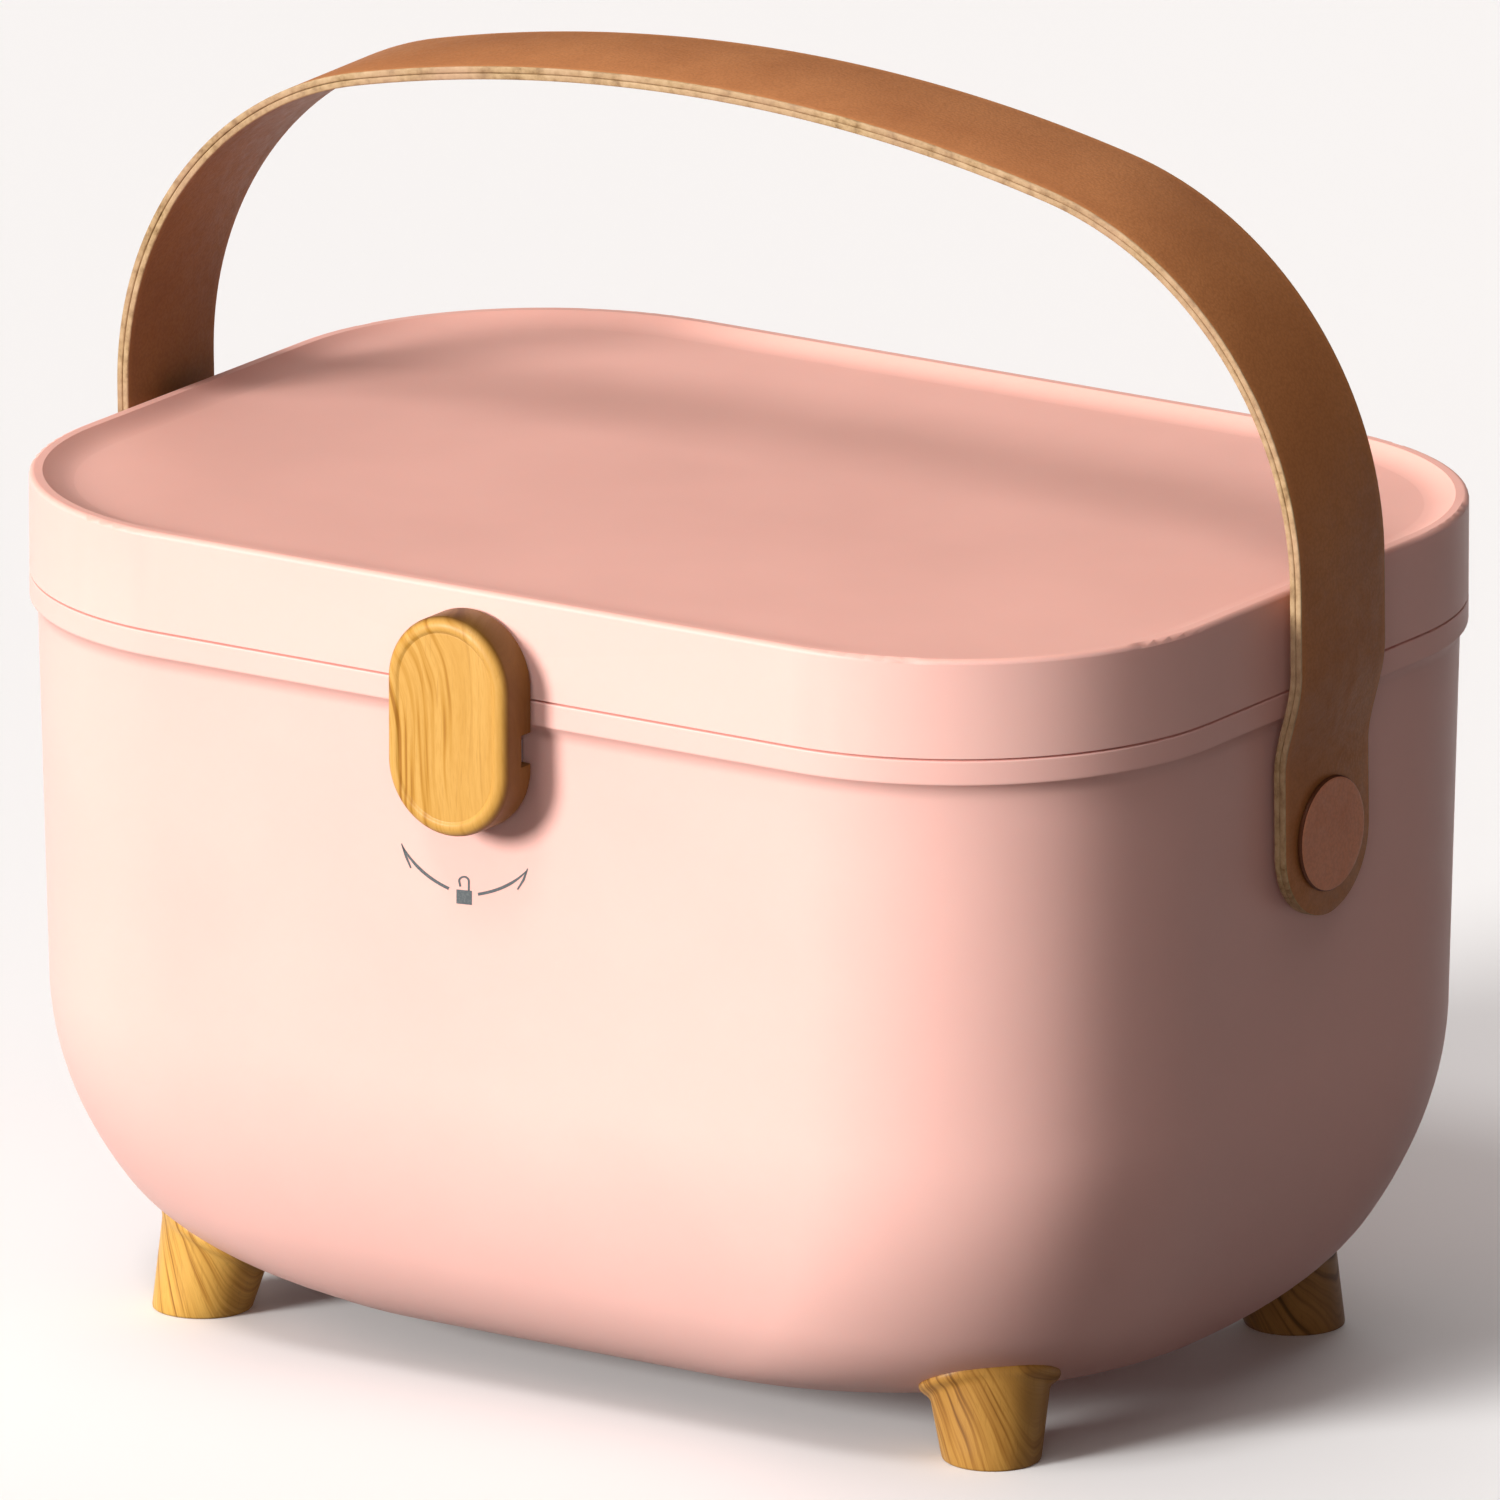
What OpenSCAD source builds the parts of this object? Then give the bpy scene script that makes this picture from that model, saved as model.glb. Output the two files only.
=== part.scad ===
// Household medicine box: a rounded tub on four splayed pegs, with a hinged lid, a twist latch
// and a leather carrying strap. Sizes are in millimetres. The origin is on the floor under the
// middle of the box, +Z is up, +X is to the right and the latch faces -Y.

/* [Box] */
// Length of the lid from side to side
box_length = 300; // [270:1:360]
// Depth of the lid from front to back
box_depth = 219; // [200:1:280]
// Height of the closed box from the floor to the rim of the lid
box_height = 193.5; // [186:0.5:230]
// Radius of the upright corners, seen from above
corner_radius = 66; // [64:0.5:72]
// Height of the plain band round the lid
band_height = 22.75; // [20:0.25:26]
// Gap at the seam between the lid and the tub
seam_gap = 0.5; // [0.3:0.1:0.8]

/* [Tub] */
// Thickness of the tub's wall and floor
tub_wall = 2.5; // [2:0.1:3.2]
// Height of the rim that is flush with the lid
rim_height = 5.9; // [4.5:0.1:7]
// How far the wall stands in behind the rim
wall_setback = 1.9; // [1.6:0.1:2.6]
// Radius of the cove under the rim
cove_radius = 5; // [4:0.1:6.5]
// How far the straight wall leans in towards its foot
wall_lean = 2; // [1:0.1:2.6]
// Space between the floor and the underside of the tub
tub_clearance = 6.8; // [5:0.2:9]
// Radius of the upper part of the curve at the foot of the wall
upper_curve_radius = 102; // [94:1:112]
// Angle that the upper curve turns through, in degrees
upper_curve_angle = 36; // [31:0.5:42]
// Corner radius that is left on the flat underside
bottom_corner_radius = 8; // [6:0.5:11]
// Gap between the lid and the lip that stands up inside it
lip_clearance = 0.4; // [0.3:0.1:0.7]
// Height of the lip above the rim
lip_height = 3; // [2:0.1:4]

/* [Lid] */
// Thickness of the lid's band and top
lid_wall = 2.5; // [2:0.1:3]
// Width of the flat rim round the top
lid_rim_width = 3; // [2:0.1:5]
// Width of the hollow slope between the rim and the sunk panel
lid_slope_width = 7; // [5:0.1:10]
// Depth of the sunk panel below the rim
panel_depth = 2.5; // [1.5:0.1:3.5]
// Rounding of the rim's outer edge
lid_edge_radius = 1.2; // [0.6:0.1:2]

/* [Hinges] */
// Distance between the middles of the two hinges
hinge_spacing = 110; // [80:1:125]
// Width of one hinge
hinge_width = 36; // [28:1:44]
// Width of the middle knuckle, which is part of the lid
lid_knuckle_width = 17; // [14:0.5:20]
// Radius of the knuckles
knuckle_radius = 4.5; // [4:0.1:5.2]
// Gap between the knuckles and the wall that they pass
knuckle_wall_gap = 0.5; // [0.4:0.1:0.8]
// Radius of the hinge pins
hinge_pin_radius = 1.5; // [1.2:0.1:2]

/* [Latch] */
// Width of the latch knob
knob_width = 31.7; // [28:0.1:36]
// Height of the latch knob
knob_height = 50; // [46:0.1:58]
// Depth of the latch knob from back to front
knob_depth = 11; // [9:0.1:13]
// Distance from the lid's rim down to the top of the knob
knob_drop = 4; // [2:0.1:5]
// Rounding of the knob's front edge
knob_edge_radius = 2; // [1:0.1:3]
// Width of the raised frame round the knob's face plate
knob_frame_width = 3.6; // [2.8:0.1:5]
// Thickness of the face plate
face_thickness = 1.6; // [1:0.1:2.4]
// Depth of the face plate below the frame
face_sink = 0.4; // [0.2:0.1:0.8]
// Height of the finger notches in the knob's sides
notch_height = 7.2; // [5:0.1:9]
// Depth of the notches in from the knob's sides
notch_width = 3.2; // [2:0.1:4]
// Depth of the notches forward from the knob's back
notch_depth = 4.2; // [3:0.1:5.5]
// Distance from the top of the knob down to the top of the notches
notch_drop = 25.9; // [22:0.1:30]
// Distance from the lid's rim down to the screw that the knob turns on
latch_screw_drop = 17.85; // [17:0.05:18.2]
// Radius of the latch screw
latch_screw_radius = 2; // [1.5:0.1:2.4]
// How far the latch screw reaches into the knob
latch_screw_reach = 6; // [4:0.1:7]
// Width of the keeper plate on the tub
keeper_width = 24; // [20:0.5:27]
// Height of the keeper plate
keeper_height = 12; // [10:0.5:14]
// Thickness of the keeper plate
keeper_plate = 1.2; // [1:0.1:1.6]
// Height of the keeper's raised lug
lug_height = 3.6; // [2.5:0.1:5]
// Width of the keeper's raised lug
lug_width = 16; // [12:0.5:20]

/* [Handle] */
// Width of the leather strap
strap_width = 34.5; // [30:0.5:38]
// Thickness of one of the strap's two leather layers
layer_thickness = 1.5; // [1.2:0.1:2]
// Gap between the lid's sides and the strap
strap_gap = 4.6; // [3.4:0.1:6]
// Height of the arch's top above the lid
arch_rise = 95.5; // [92:0.5:110]
// Height above the lid at which the straight legs end
leg_rise = 2.6; // [1:0.1:6]
// Radius of the arch's two shoulders
shoulder_radius = 84.5; // [76:0.5:88]
// Distance from the lid's rim down to the inward bend of the strap
bend_drop = 20.5; // [18:0.5:23]
// Height of the inward bend
bend_height = 16; // [14:0.5:18]
// Distance from the lid's rim down to the pivots
pivot_drop = 57.4; // [53:0.1:60]
// Distance from the pivots down to the strap's rounded ends
tab_reach = 18.6; // [17:0.1:20]
// Lean of the handle towards the front, in degrees
handle_lean = 1.2; // [0:0.1:3]
// Radius of the round caps over the pivots
cap_radius = 13; // [11:0.1:15]
// Thickness of the caps
cap_thickness = 2; // [1.8:0.1:2.6]
// Radius of the pivot pins
pivot_pin_radius = 4; // [3:0.1:4.6]
// Radius of the eyelets in the strap
eyelet_radius = 5.6; // [5.2:0.1:6.4]
// Radius of the raised pads on the tub under the spacers
pad_radius = 12; // [10:0.1:14]
// How far the pads stand out from the tub's wall
pad_height = 0.8; // [0.6:0.1:1.4]

/* [Feet] */
// Distance from the lid's ends in to the middle of a foot at the floor
foot_inset_x = 44.3; // [40:0.1:54]
// Distance from the lid's front and back in to the middle of a foot at the floor
foot_inset_y = 47.3; // [44:0.1:54]
// Radius of a foot where it stands on the floor
foot_bottom_radius = 11; // [9.5:0.1:12.5]
// Radius of a foot at its reference height
foot_top_radius = 14.2; // [13:0.1:15.5]
// Outward lean of the feet, in degrees
foot_splay = 10; // [6:0.5:13]
// Direction of the lean, in degrees from the box's length
foot_direction = 45; // [35:1:55]
// Radius of the foot screws
foot_screw_radius = 2; // [1.5:0.1:2.5]

/* [Tray] */
// Right edge of the tray's wall, measured from the middle of the box
tray_edge = 8; // [0:0.5:15]
// Depth of the tray
tray_depth = 38; // [32:0.5:42]
// Distance from the lid's rim down to the tray's flange
tray_drop = 41; // [38:0.5:44]
// Thickness of the tray's walls
tray_wall = 1.8; // [1.5:0.1:2.4]
// Gap between the tray's wall and the tub's wall
tray_gap = 7.5; // [7:0.1:9]
// Depth of the ribs that carry the tray
rib_depth = 6; // [5:0.1:7]
// Number of loose dividers across the tray's front row
tray_divider_count = 2; // [1:1:3]
// Middle of the loose divider in the deep space, measured from the middle of the box
well_divider_x = 72; // [60:0.5:78]
// Height of that divider's top edge above the floor
well_divider_top = 140; // [120:1:150]
// Thickness of the loose dividers
divider_thickness = 1.8; // [1.5:0.1:2.4]

/* [Hidden] */
$fn = 96;

// Clearances
pin_clearance = 0.05;
fixed_clearance = 0.02;
soft_gap = 0.3;
slip_gap = 0.1;
knuckle_gap = 0.3;
foot_joint = 0.2;
slot_gap = 0.3;
// How far a cutting shape runs past the face that it opens
overrun = 1;
// How deep a joined piece is rooted in its neighbour
root = 1;
// How far two curves overlap where one runs smoothly into the other
blend_overlap = 0.01;

// Box
half_length = box_length / 2;
half_depth = box_depth / 2;
seam_height = box_height - band_height;
tub_top = seam_height - seam_gap / 2;
lid_bottom = seam_height + seam_gap / 2;
middle_length = box_length - 2 * corner_radius;
middle_depth = box_depth - 2 * corner_radius;

// Wall of the tub, with distances measured out from the centre of an upright corner
rim_bottom = seam_height - rim_height;
rim_land = 0.3;
cove_drop = sqrt(pow(cove_radius, 2) - pow(cove_radius - wall_setback + rim_land, 2));
wall_top = rim_bottom - cove_drop;
wall_line = corner_radius - wall_setback;
wall_foot = wall_line - wall_lean;
curve_rest = upper_curve_radius + bottom_corner_radius - wall_foot;
lower_curve_radius = upper_curve_radius - curve_rest / cos(upper_curve_angle);
lower_centre_height = tub_clearance + lower_curve_radius;
curve_step = upper_curve_radius - lower_curve_radius;
curve_start = lower_centre_height + curve_step * sin(upper_curve_angle);
upper_centre = [wall_foot - upper_curve_radius, curve_start];
lower_centre = [bottom_corner_radius, lower_centre_height];
lip_top = tub_top + lip_height;
cavity_inset = wall_setback + tub_wall;
// How far the wall's outer face stands in from the lid's outline at a given height
function wall_inset(height) =
    wall_setback + wall_lean * (wall_top - height) / (wall_top - curve_start);

// Lid
panel_height = box_height - panel_depth;
panel_edge = corner_radius - lid_rim_width - lid_slope_width;
slope_radius = (pow(lid_slope_width, 2) + pow(panel_depth, 2)) / (2 * panel_depth);
lid_ceiling = panel_height - lid_wall;

// Hinges
hinge_y = half_depth + knuckle_radius + knuckle_wall_gap;
tub_knuckle_width = (hinge_width - lid_knuckle_width) / 2 - knuckle_gap;
knuckle_web_gap = 0.3;
pin_head_radius = 2.4;
pin_head_height = 1;

// Latch
knob_back = half_depth + soft_gap;
knob_end_radius = knob_width / 2;
knob_reach = knob_height - knob_width;
knob_end_height = box_height - knob_drop - knob_end_radius;
latch_height = box_height - latch_screw_drop;
pocket_depth = face_thickness + face_sink;
washer_thickness = 0.6;
screw_head_height = 2;
screw_head_radius = 2 * latch_screw_radius;
latch_washer_radius = screw_head_radius + 0.5;
lip_notch_margin = 2;
lip_notch_width = 2 * (latch_washer_radius + lip_notch_margin);
keeper_top = wall_top - 0.3;
keeper_bottom = keeper_top - keeper_height;
keeper_seat = half_depth - wall_setback + slip_gap;
keeper_screw_radius = 1.2;
keeper_head_radius = 2.2;
keeper_head_height = 0.5;
keeper_screw_margin = 4;
keeper_screw_x = keeper_width / 2 - keeper_screw_margin;
keeper_screw_height = keeper_bottom + keeper_screw_margin;

// Handle
pivot_height = box_height - pivot_drop;
strap_thickness = 2 * layer_thickness;
leg_inner = half_length + strap_gap;
spacer_thickness = 1.6;
pad_face = half_length - wall_inset(pivot_height) + pad_height;
tab_inner = pad_face + spacer_thickness + 2 * slip_gap;
tab_outer = tab_inner + strap_thickness;
leg_top = box_height + leg_rise;
shoulder_inner = shoulder_radius - strap_thickness;
shoulder_centre = [leg_inner - shoulder_inner, leg_top];
crown_inner_height = box_height + arch_rise - strap_thickness;
shoulder_spare = crown_inner_height - leg_top - shoulder_inner;
shoulder_angle = 90 - 2 * atan(shoulder_spare / shoulder_centre[0]);
crown_inner = shoulder_inner + shoulder_centre[0] / cos(shoulder_angle);
crown_centre = [0, crown_inner_height - crown_inner];
bend_top = box_height - bend_drop;
bend_bottom = bend_top - bend_height;
pin_flange_radius = 8;
pin_flange_height = 0.9;
nut_radius = 7;
nut_height = 3.2;
pin_thread_radius = pivot_pin_radius - 1;
cavity_side = half_length - wall_inset(pivot_height) - tub_wall;

// Feet
foot_reference = 20;
foot_reach = 34;
foot_axis_height = foot_reference * cos(foot_splay);
foot_boss_radius = 6.5;
foot_boss_seat = 19;
foot_head_radius = 2 * foot_screw_radius;
foot_head_height = 2.4;
foot_screw_length = 14;

// Tray
tray_top = box_height - tray_drop;
tray_bottom = tray_top - tray_depth;
tray_inset = wall_inset(tray_bottom) + tub_wall + tray_gap;
flange_thickness = 2;
flange_play = 2;
flange_reach = tray_gap - flange_play;
flange_bottom = tray_top - flange_thickness;
rib_foot = 6;
rib_top = flange_bottom - slot_gap;
rib_bottom = curve_start + rib_foot;
rib_width = 3;
rib_left_faces = [-62, -3];
tray_left = half_length - tray_inset;
tray_row_wall = 12;
grip_width = 46;
grip_depth = 14;
grip_offset = 10;
guide_size = 1.6;
divider_drop = 6;
divider_height = tray_depth - tray_wall - divider_drop;
row_front = half_depth - tray_inset - tray_wall;
row_length = tray_left + tray_edge - 2 * tray_wall;
divider_pitch = row_length / (tray_divider_count + 1);
well_guide_depth = 4.2;

// Colours for the previews
shell_pink = [0.96, 0.80, 0.77];
lid_pink = [0.93, 0.70, 0.66];
wood = [0.85, 0.62, 0.30];
leather = [0.66, 0.42, 0.24];
leather_edge = [0.85, 0.70, 0.50];
steel = [0.70, 0.71, 0.73];
tray_white = [0.93, 0.93, 0.91];

// Shared helpers

// Sweeps a profile round the box: a quarter turn at each corner and a straight run on each side
module swept_round() {
    turns = [[1, 1], [-1, 1], [-1, -1], [1, -1]];
    for (k = [0:3]) {
        translate([turns[k][0] * middle_length / 2, turns[k][1] * middle_depth / 2, 0])
            rotate([0, 0, 90 * k])
                rotate_extrude(angle = 90)
                    children();
        along_length = k % 2 == 1;
        rotate([0, 0, 90 * k])
            translate([(along_length ? middle_depth : middle_length) / 2, 0, 0])
                rotate([90, 0, 0])
                    linear_extrude(height = along_length ? middle_length : middle_depth, center = true)
                        children();
    }
}

// A plate or block that fills the middle of the plan, inside the swept corners and sides
module middle_block(bottom, top) {
    translate([-middle_length / 2, -middle_depth / 2, bottom])
        cube([middle_length, middle_depth, top - bottom]);
}

// The box's outline from above, drawn in by a given amount
module box_plan(inset) {
    radius = corner_radius - inset;
    square([middle_length, box_depth - 2 * inset], center = true);
    square([box_length - 2 * inset, middle_depth], center = true);
    for (x = [-1, 1], y = [-1, 1])
        translate([x * middle_length / 2, y * middle_depth / 2])
            circle(radius);
}

// A rod along X that starts at a given point
module rod_x(start, length, radius) {
    translate(start)
        rotate([0, 90, 0])
            cylinder(h = length, r = radius);
}

// A rod that points to the back of the box, along +Y
module rod_y(start, length, radius) {
    translate(start)
        rotate([-90, 0, 0])
            cylinder(h = length, r = radius);
}

// Places its children at the right pivot, and mirrored at the left one
module at_both_pivots() {
    for (side = [0, 1])
        mirror([side, 0, 0])
            children();
}

// Tub

// Filled section of the tub, out to a face that lies a given depth inside the wall's outer face
module tub_section(depth, top) {
    joint_height = curve_start - (upper_curve_radius - depth) * sin(upper_curve_angle);
    bottom = tub_clearance + depth;
    lean = wall_lean / (wall_top - curve_start);
    intersection() {
        translate([0, bottom])
            square([corner_radius, top - bottom]);
        union() {
            translate(upper_centre)
                circle(upper_curve_radius - depth, $fn = 360);
            polygon([
                [0, curve_start - root],
                [wall_foot - depth - lean * root, curve_start - root],
                [wall_line - depth, wall_top],
                [wall_line - depth, top],
                [0, top]
            ]);
        }
        union() {
            translate(lower_centre)
                circle(lower_curve_radius - depth + blend_overlap, $fn = 240);
            square([bottom_corner_radius, top]);
            translate([0, joint_height])
                square([corner_radius, top]);
        }
    }
}

module rim_section() {
    translate([wall_line - tub_wall, rim_bottom])
        square([corner_radius - wall_line + tub_wall, tub_top - rim_bottom]);
    difference() {
        translate([wall_line - tub_wall / 2, wall_top])
            square([corner_radius - rim_land - wall_line + tub_wall / 2, cove_drop]);
        translate([wall_line + cove_radius - blend_overlap, wall_top])
            circle(cove_radius);
    }
    translate([wall_line - tub_wall, tub_top - root])
        square([cavity_inset - lid_wall - lip_clearance, lip_height + root]);
}

module tub_wall_section() {
    difference() {
        union() {
            tub_section(0, tub_top);
            rim_section();
        }
        tub_section(tub_wall, lip_top + overrun);
    }
}

// The tub as a solid block whose face lies a given depth inside its outer face
module tub_block(depth) {
    swept_round()
        tub_section(depth, tub_top);
    middle_block(tub_clearance + depth, tub_top);
}

module tray_ribs() {
    reach = half_depth - cavity_inset + root / 2;
    for (x = rib_left_faces, y = [-1, 1])
        translate([x, y > 0 ? reach - rib_depth : -reach, rib_bottom])
            cube([rib_width, rib_depth, rib_top - rib_bottom]);
}

module well_guides() {
    reach = half_depth - cavity_inset + root / 2;
    step = divider_thickness / 2 + slot_gap;
    for (side = [-1, 1], y = [-1, 1])
        translate([
            well_divider_x + side * (step + guide_size / 2) - guide_size / 2,
            y > 0 ? reach - well_guide_depth : -reach,
            rib_bottom
        ])
            cube([guide_size, well_guide_depth, well_divider_top - rib_bottom]);
}

// Places its children on each foot's leaning axis, with the floor at height 0
module at_foot(x, y) {
    translate([x * (half_length - foot_inset_x), y * (half_depth - foot_inset_y), 0])
        rotate([0, 0, atan2(y * sin(foot_direction), x * cos(foot_direction))])
            rotate([0, -foot_splay, 0])
                children();
}

module at_feet() {
    for (x = [-1, 1], y = [-1, 1])
        at_foot(x, y)
            children();
}

module tub_knuckles() {
    for (side = [-1, 1], end = [-1, 1])
        translate([
            side * hinge_spacing / 2 + end * (hinge_width - tub_knuckle_width) / 2,
            0,
            0
        ]) {
            rod_x([-tub_knuckle_width / 2, hinge_y, seam_height], tub_knuckle_width, knuckle_radius);
            translate([-tub_knuckle_width / 2, half_depth - root, seam_height - knuckle_radius])
                cube([
                    tub_knuckle_width,
                    hinge_y - half_depth + root,
                    knuckle_radius - knuckle_web_gap
                ]);
        }
}

module tub() {
    color(shell_pink)
        difference() {
            union() {
                swept_round()
                    tub_wall_section();
                middle_block(tub_clearance, tub_clearance + tub_wall);
                tray_ribs();
                well_guides();
                tub_knuckles();
                at_both_pivots()
                    rod_x([cavity_side + root, 0, pivot_height], pad_face - cavity_side - root, pad_radius);
                intersection() {
                    tub_block(root);
                    at_feet()
                        cylinder(h = foot_boss_seat, r = foot_boss_radius);
                }
            }
            at_both_pivots()
                rod_x(
                    [cavity_side - overrun, 0, pivot_height],
                    pad_face - cavity_side + 2 * overrun,
                    pin_thread_radius + fixed_clearance
                );
            for (side = [-1, 1])
                rod_x(
                    [side * hinge_spacing / 2 - hinge_width, hinge_y, seam_height],
                    2 * hinge_width,
                    hinge_pin_radius + fixed_clearance
                );
            at_feet()
                cylinder(h = foot_boss_seat + overrun, r = foot_screw_radius + fixed_clearance);
            for (x = [-1, 1])
                rod_y(
                    [x * keeper_screw_x, -half_depth, keeper_screw_height],
                    cavity_inset + 2 * overrun,
                    keeper_screw_radius + fixed_clearance
                );
            translate([-lip_notch_width / 2, -half_depth, tub_top])
                cube([lip_notch_width, 2 * cavity_inset, lip_height + overrun]);
        }
}

// Lid

module lid_section() {
    difference() {
        union() {
            translate([0, lid_bottom])
                square([corner_radius - lid_edge_radius, box_height - lid_bottom]);
            translate([0, lid_bottom])
                square([corner_radius, box_height - lid_edge_radius - lid_bottom]);
            translate([corner_radius - lid_edge_radius, box_height - lid_edge_radius])
                circle(lid_edge_radius);
        }
        translate([-overrun, panel_height])
            square([panel_edge + overrun, panel_depth + overrun]);
        intersection() {
            translate([panel_edge, panel_height + slope_radius])
                circle(slope_radius, $fn = 180);
            translate([panel_edge, panel_height])
                square([lid_slope_width, panel_depth + overrun]);
        }
        translate([-overrun, lid_bottom - overrun])
            square([corner_radius - lid_wall + overrun, lid_ceiling - lid_bottom + overrun]);
    }
}

module lid_knuckles() {
    for (side = [-1, 1])
        translate([side * hinge_spacing / 2 - lid_knuckle_width / 2, 0, 0]) {
            rod_x([0, hinge_y, seam_height], lid_knuckle_width, knuckle_radius);
            translate([0, half_depth - root, seam_height + knuckle_web_gap])
                cube([
                    lid_knuckle_width,
                    hinge_y - half_depth + root,
                    knuckle_radius - knuckle_web_gap
                ]);
        }
}

module lid() {
    color(lid_pink)
        difference() {
            union() {
                swept_round()
                    lid_section();
                middle_block(lid_ceiling, panel_height);
                lid_knuckles();
            }
            for (side = [-1, 1])
                rod_x(
                    [side * hinge_spacing / 2 - hinge_width / 2, hinge_y, seam_height],
                    hinge_width,
                    hinge_pin_radius + pin_clearance
                );
            rod_y(
                [0, -half_depth - overrun, latch_height],
                lid_wall + 2 * overrun,
                latch_screw_radius + pin_clearance
            );
        }
}

module hinge_pins() {
    color(steel)
        for (side = [-1, 1])
            mirror([side > 0 ? 0 : 1, 0, 0])
                translate([hinge_spacing / 2, hinge_y, seam_height]) {
                    rod_x([-hinge_width / 2, 0, 0], hinge_width, hinge_pin_radius);
                    rod_x([hinge_width / 2, 0, 0], pin_head_height, pin_head_radius);
                }
}

// Latch

// A long round-ended solid that stands on its back, from a half section with depth upwards
module round_ended(reach) {
    for (end = [0, -reach])
        translate([0, end, 0])
            rotate_extrude()
                children();
    translate([0, -reach / 2, 0])
        rotate([90, 0, 0])
            linear_extrude(height = reach, center = true) {
                children();
                mirror([1, 0])
                    children();
            }
}

// Stands its children up against the lid's front, centred on the knob's round upper end
module on_knob() {
    translate([0, -knob_back, knob_end_height])
        rotate([90, 0, 0])
            children();
}

module latch_knob() {
    side = knob_end_radius - knob_edge_radius;
    color(wood)
        on_knob()
            difference() {
                round_ended(knob_reach) {
                    square([side, knob_depth]);
                    square([knob_end_radius, knob_depth - knob_edge_radius]);
                    translate([side, knob_depth - knob_edge_radius])
                        circle(knob_edge_radius);
                }
                translate([0, 0, knob_depth - pocket_depth])
                    round_ended(knob_reach)
                        square([knob_end_radius - knob_frame_width, pocket_depth + overrun]);
                translate([0, latch_height - knob_end_height, -overrun])
                    cylinder(h = latch_screw_reach + overrun, r = latch_screw_radius + fixed_clearance);
                for (x = [-1, 1])
                    translate([
                        x * (knob_end_radius - notch_width / 2 + overrun / 2),
                        knob_end_radius - notch_drop - notch_height / 2,
                        (notch_depth - overrun) / 2
                    ])
                        cube([notch_width + overrun, notch_height, notch_depth + overrun], center = true);
            }
}

module latch_face() {
    color(wood)
        on_knob()
            translate([0, 0, knob_depth - pocket_depth])
                round_ended(knob_reach)
                    square([knob_end_radius - knob_frame_width - slip_gap, face_thickness]);
}

// The latch screw runs from inside the lid, through its band, into the knob
module latch_screw() {
    head_face = half_depth - lid_wall - washer_thickness - fixed_clearance;
    color(steel) {
        rod_y(
            [0, -knob_back - latch_screw_reach + slip_gap, latch_height],
            knob_back - head_face + latch_screw_reach - slip_gap,
            latch_screw_radius
        );
        rod_y([0, -head_face, latch_height], screw_head_height, screw_head_radius);
    }
}

module latch_washer() {
    seat = lid_wall - half_depth + fixed_clearance / 2;
    color(steel)
        difference() {
            rod_y([0, seat, latch_height], washer_thickness, latch_washer_radius);
            rod_y([0, -half_depth, latch_height], cavity_inset, latch_screw_radius + fixed_clearance);
        }
}

module latch_keeper() {
    color(steel)
        difference() {
            union() {
                translate([-keeper_width / 2, -keeper_seat - keeper_plate, keeper_bottom])
                    cube([keeper_width, keeper_plate, keeper_height]);
                translate([-lug_width / 2, -half_depth, keeper_top - lug_height])
                    cube([lug_width, half_depth - keeper_seat, lug_height]);
            }
            for (x = [-1, 1])
                rod_y(
                    [x * keeper_screw_x, -half_depth, keeper_screw_height],
                    cavity_inset,
                    keeper_screw_radius + fixed_clearance
                );
        }
}

module keeper_screws() {
    plate_face = keeper_seat + keeper_plate;
    color(steel)
        for (x = [-1, 1])
            translate([x * keeper_screw_x, 0, keeper_screw_height]) {
                rod_y([0, -plate_face, 0], keeper_plate + slip_gap + tub_wall, keeper_screw_radius);
                rod_y([0, -plate_face - keeper_head_height, 0], keeper_head_height, keeper_head_radius);
            }
}

// Feet

// Radius of a foot at a distance along its axis from the floor
function foot_radius(along) =
    foot_bottom_radius + (foot_top_radius - foot_bottom_radius) * along / foot_reference;

module foot(x, y) {
    color(wood)
        difference() {
            at_foot(x, y)
                translate([0, 0, foot_axis_height - foot_reach])
                    cylinder(
                        h = 2 * foot_reach,
                        r1 = foot_radius(foot_axis_height - foot_reach),
                        r2 = foot_radius(foot_axis_height + foot_reach)
                    );
            tub_block(-foot_joint);
            translate([0, 0, -2 * foot_reach])
                cube([box_length, box_depth, 4 * foot_reach], center = true);
            at_foot(x, y)
                translate([0, 0, foot_boss_seat - foot_screw_length])
                    cylinder(h = foot_reach, r = foot_screw_radius + fixed_clearance);
        }
}

module foot_screws() {
    color(steel)
        at_feet() {
            translate([0, 0, foot_boss_seat - foot_screw_length + slip_gap])
                cylinder(h = foot_screw_length, r = foot_screw_radius);
            translate([0, 0, foot_boss_seat + slip_gap])
                cylinder(h = foot_head_height, r = foot_head_radius);
        }
}

// Handle

// Everything under the right half of the strap, out to a given depth from its inner face
module under_strap(depth) {
    tab_end = pivot_height - strap_width;
    far = 2 * crown_inner;
    translate(crown_centre)
        intersection() {
            circle(crown_inner + depth, $fn = 480);
            polygon([
                [0, 0],
                far * [cos(shoulder_angle), sin(shoulder_angle)],
                [0, far]
            ]);
        }
    translate(shoulder_centre)
        circle(shoulder_inner + depth, $fn = 240);
    polygon([
        [0, leg_top],
        [0, tab_end],
        [tab_inner + depth, tab_end],
        [tab_inner + depth, bend_bottom],
        [leg_inner + depth, bend_top],
        [leg_inner + depth, leg_top]
    ]);
}

// One leather layer seen from the front, between two depths from the strap's inner face
module layer_outline(from, to) {
    difference() {
        for (side = [0, 1])
            mirror([side, 0])
                under_strap(to);
        for (side = [0, 1])
            mirror([side, 0])
                under_strap(from);
    }
}

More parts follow.
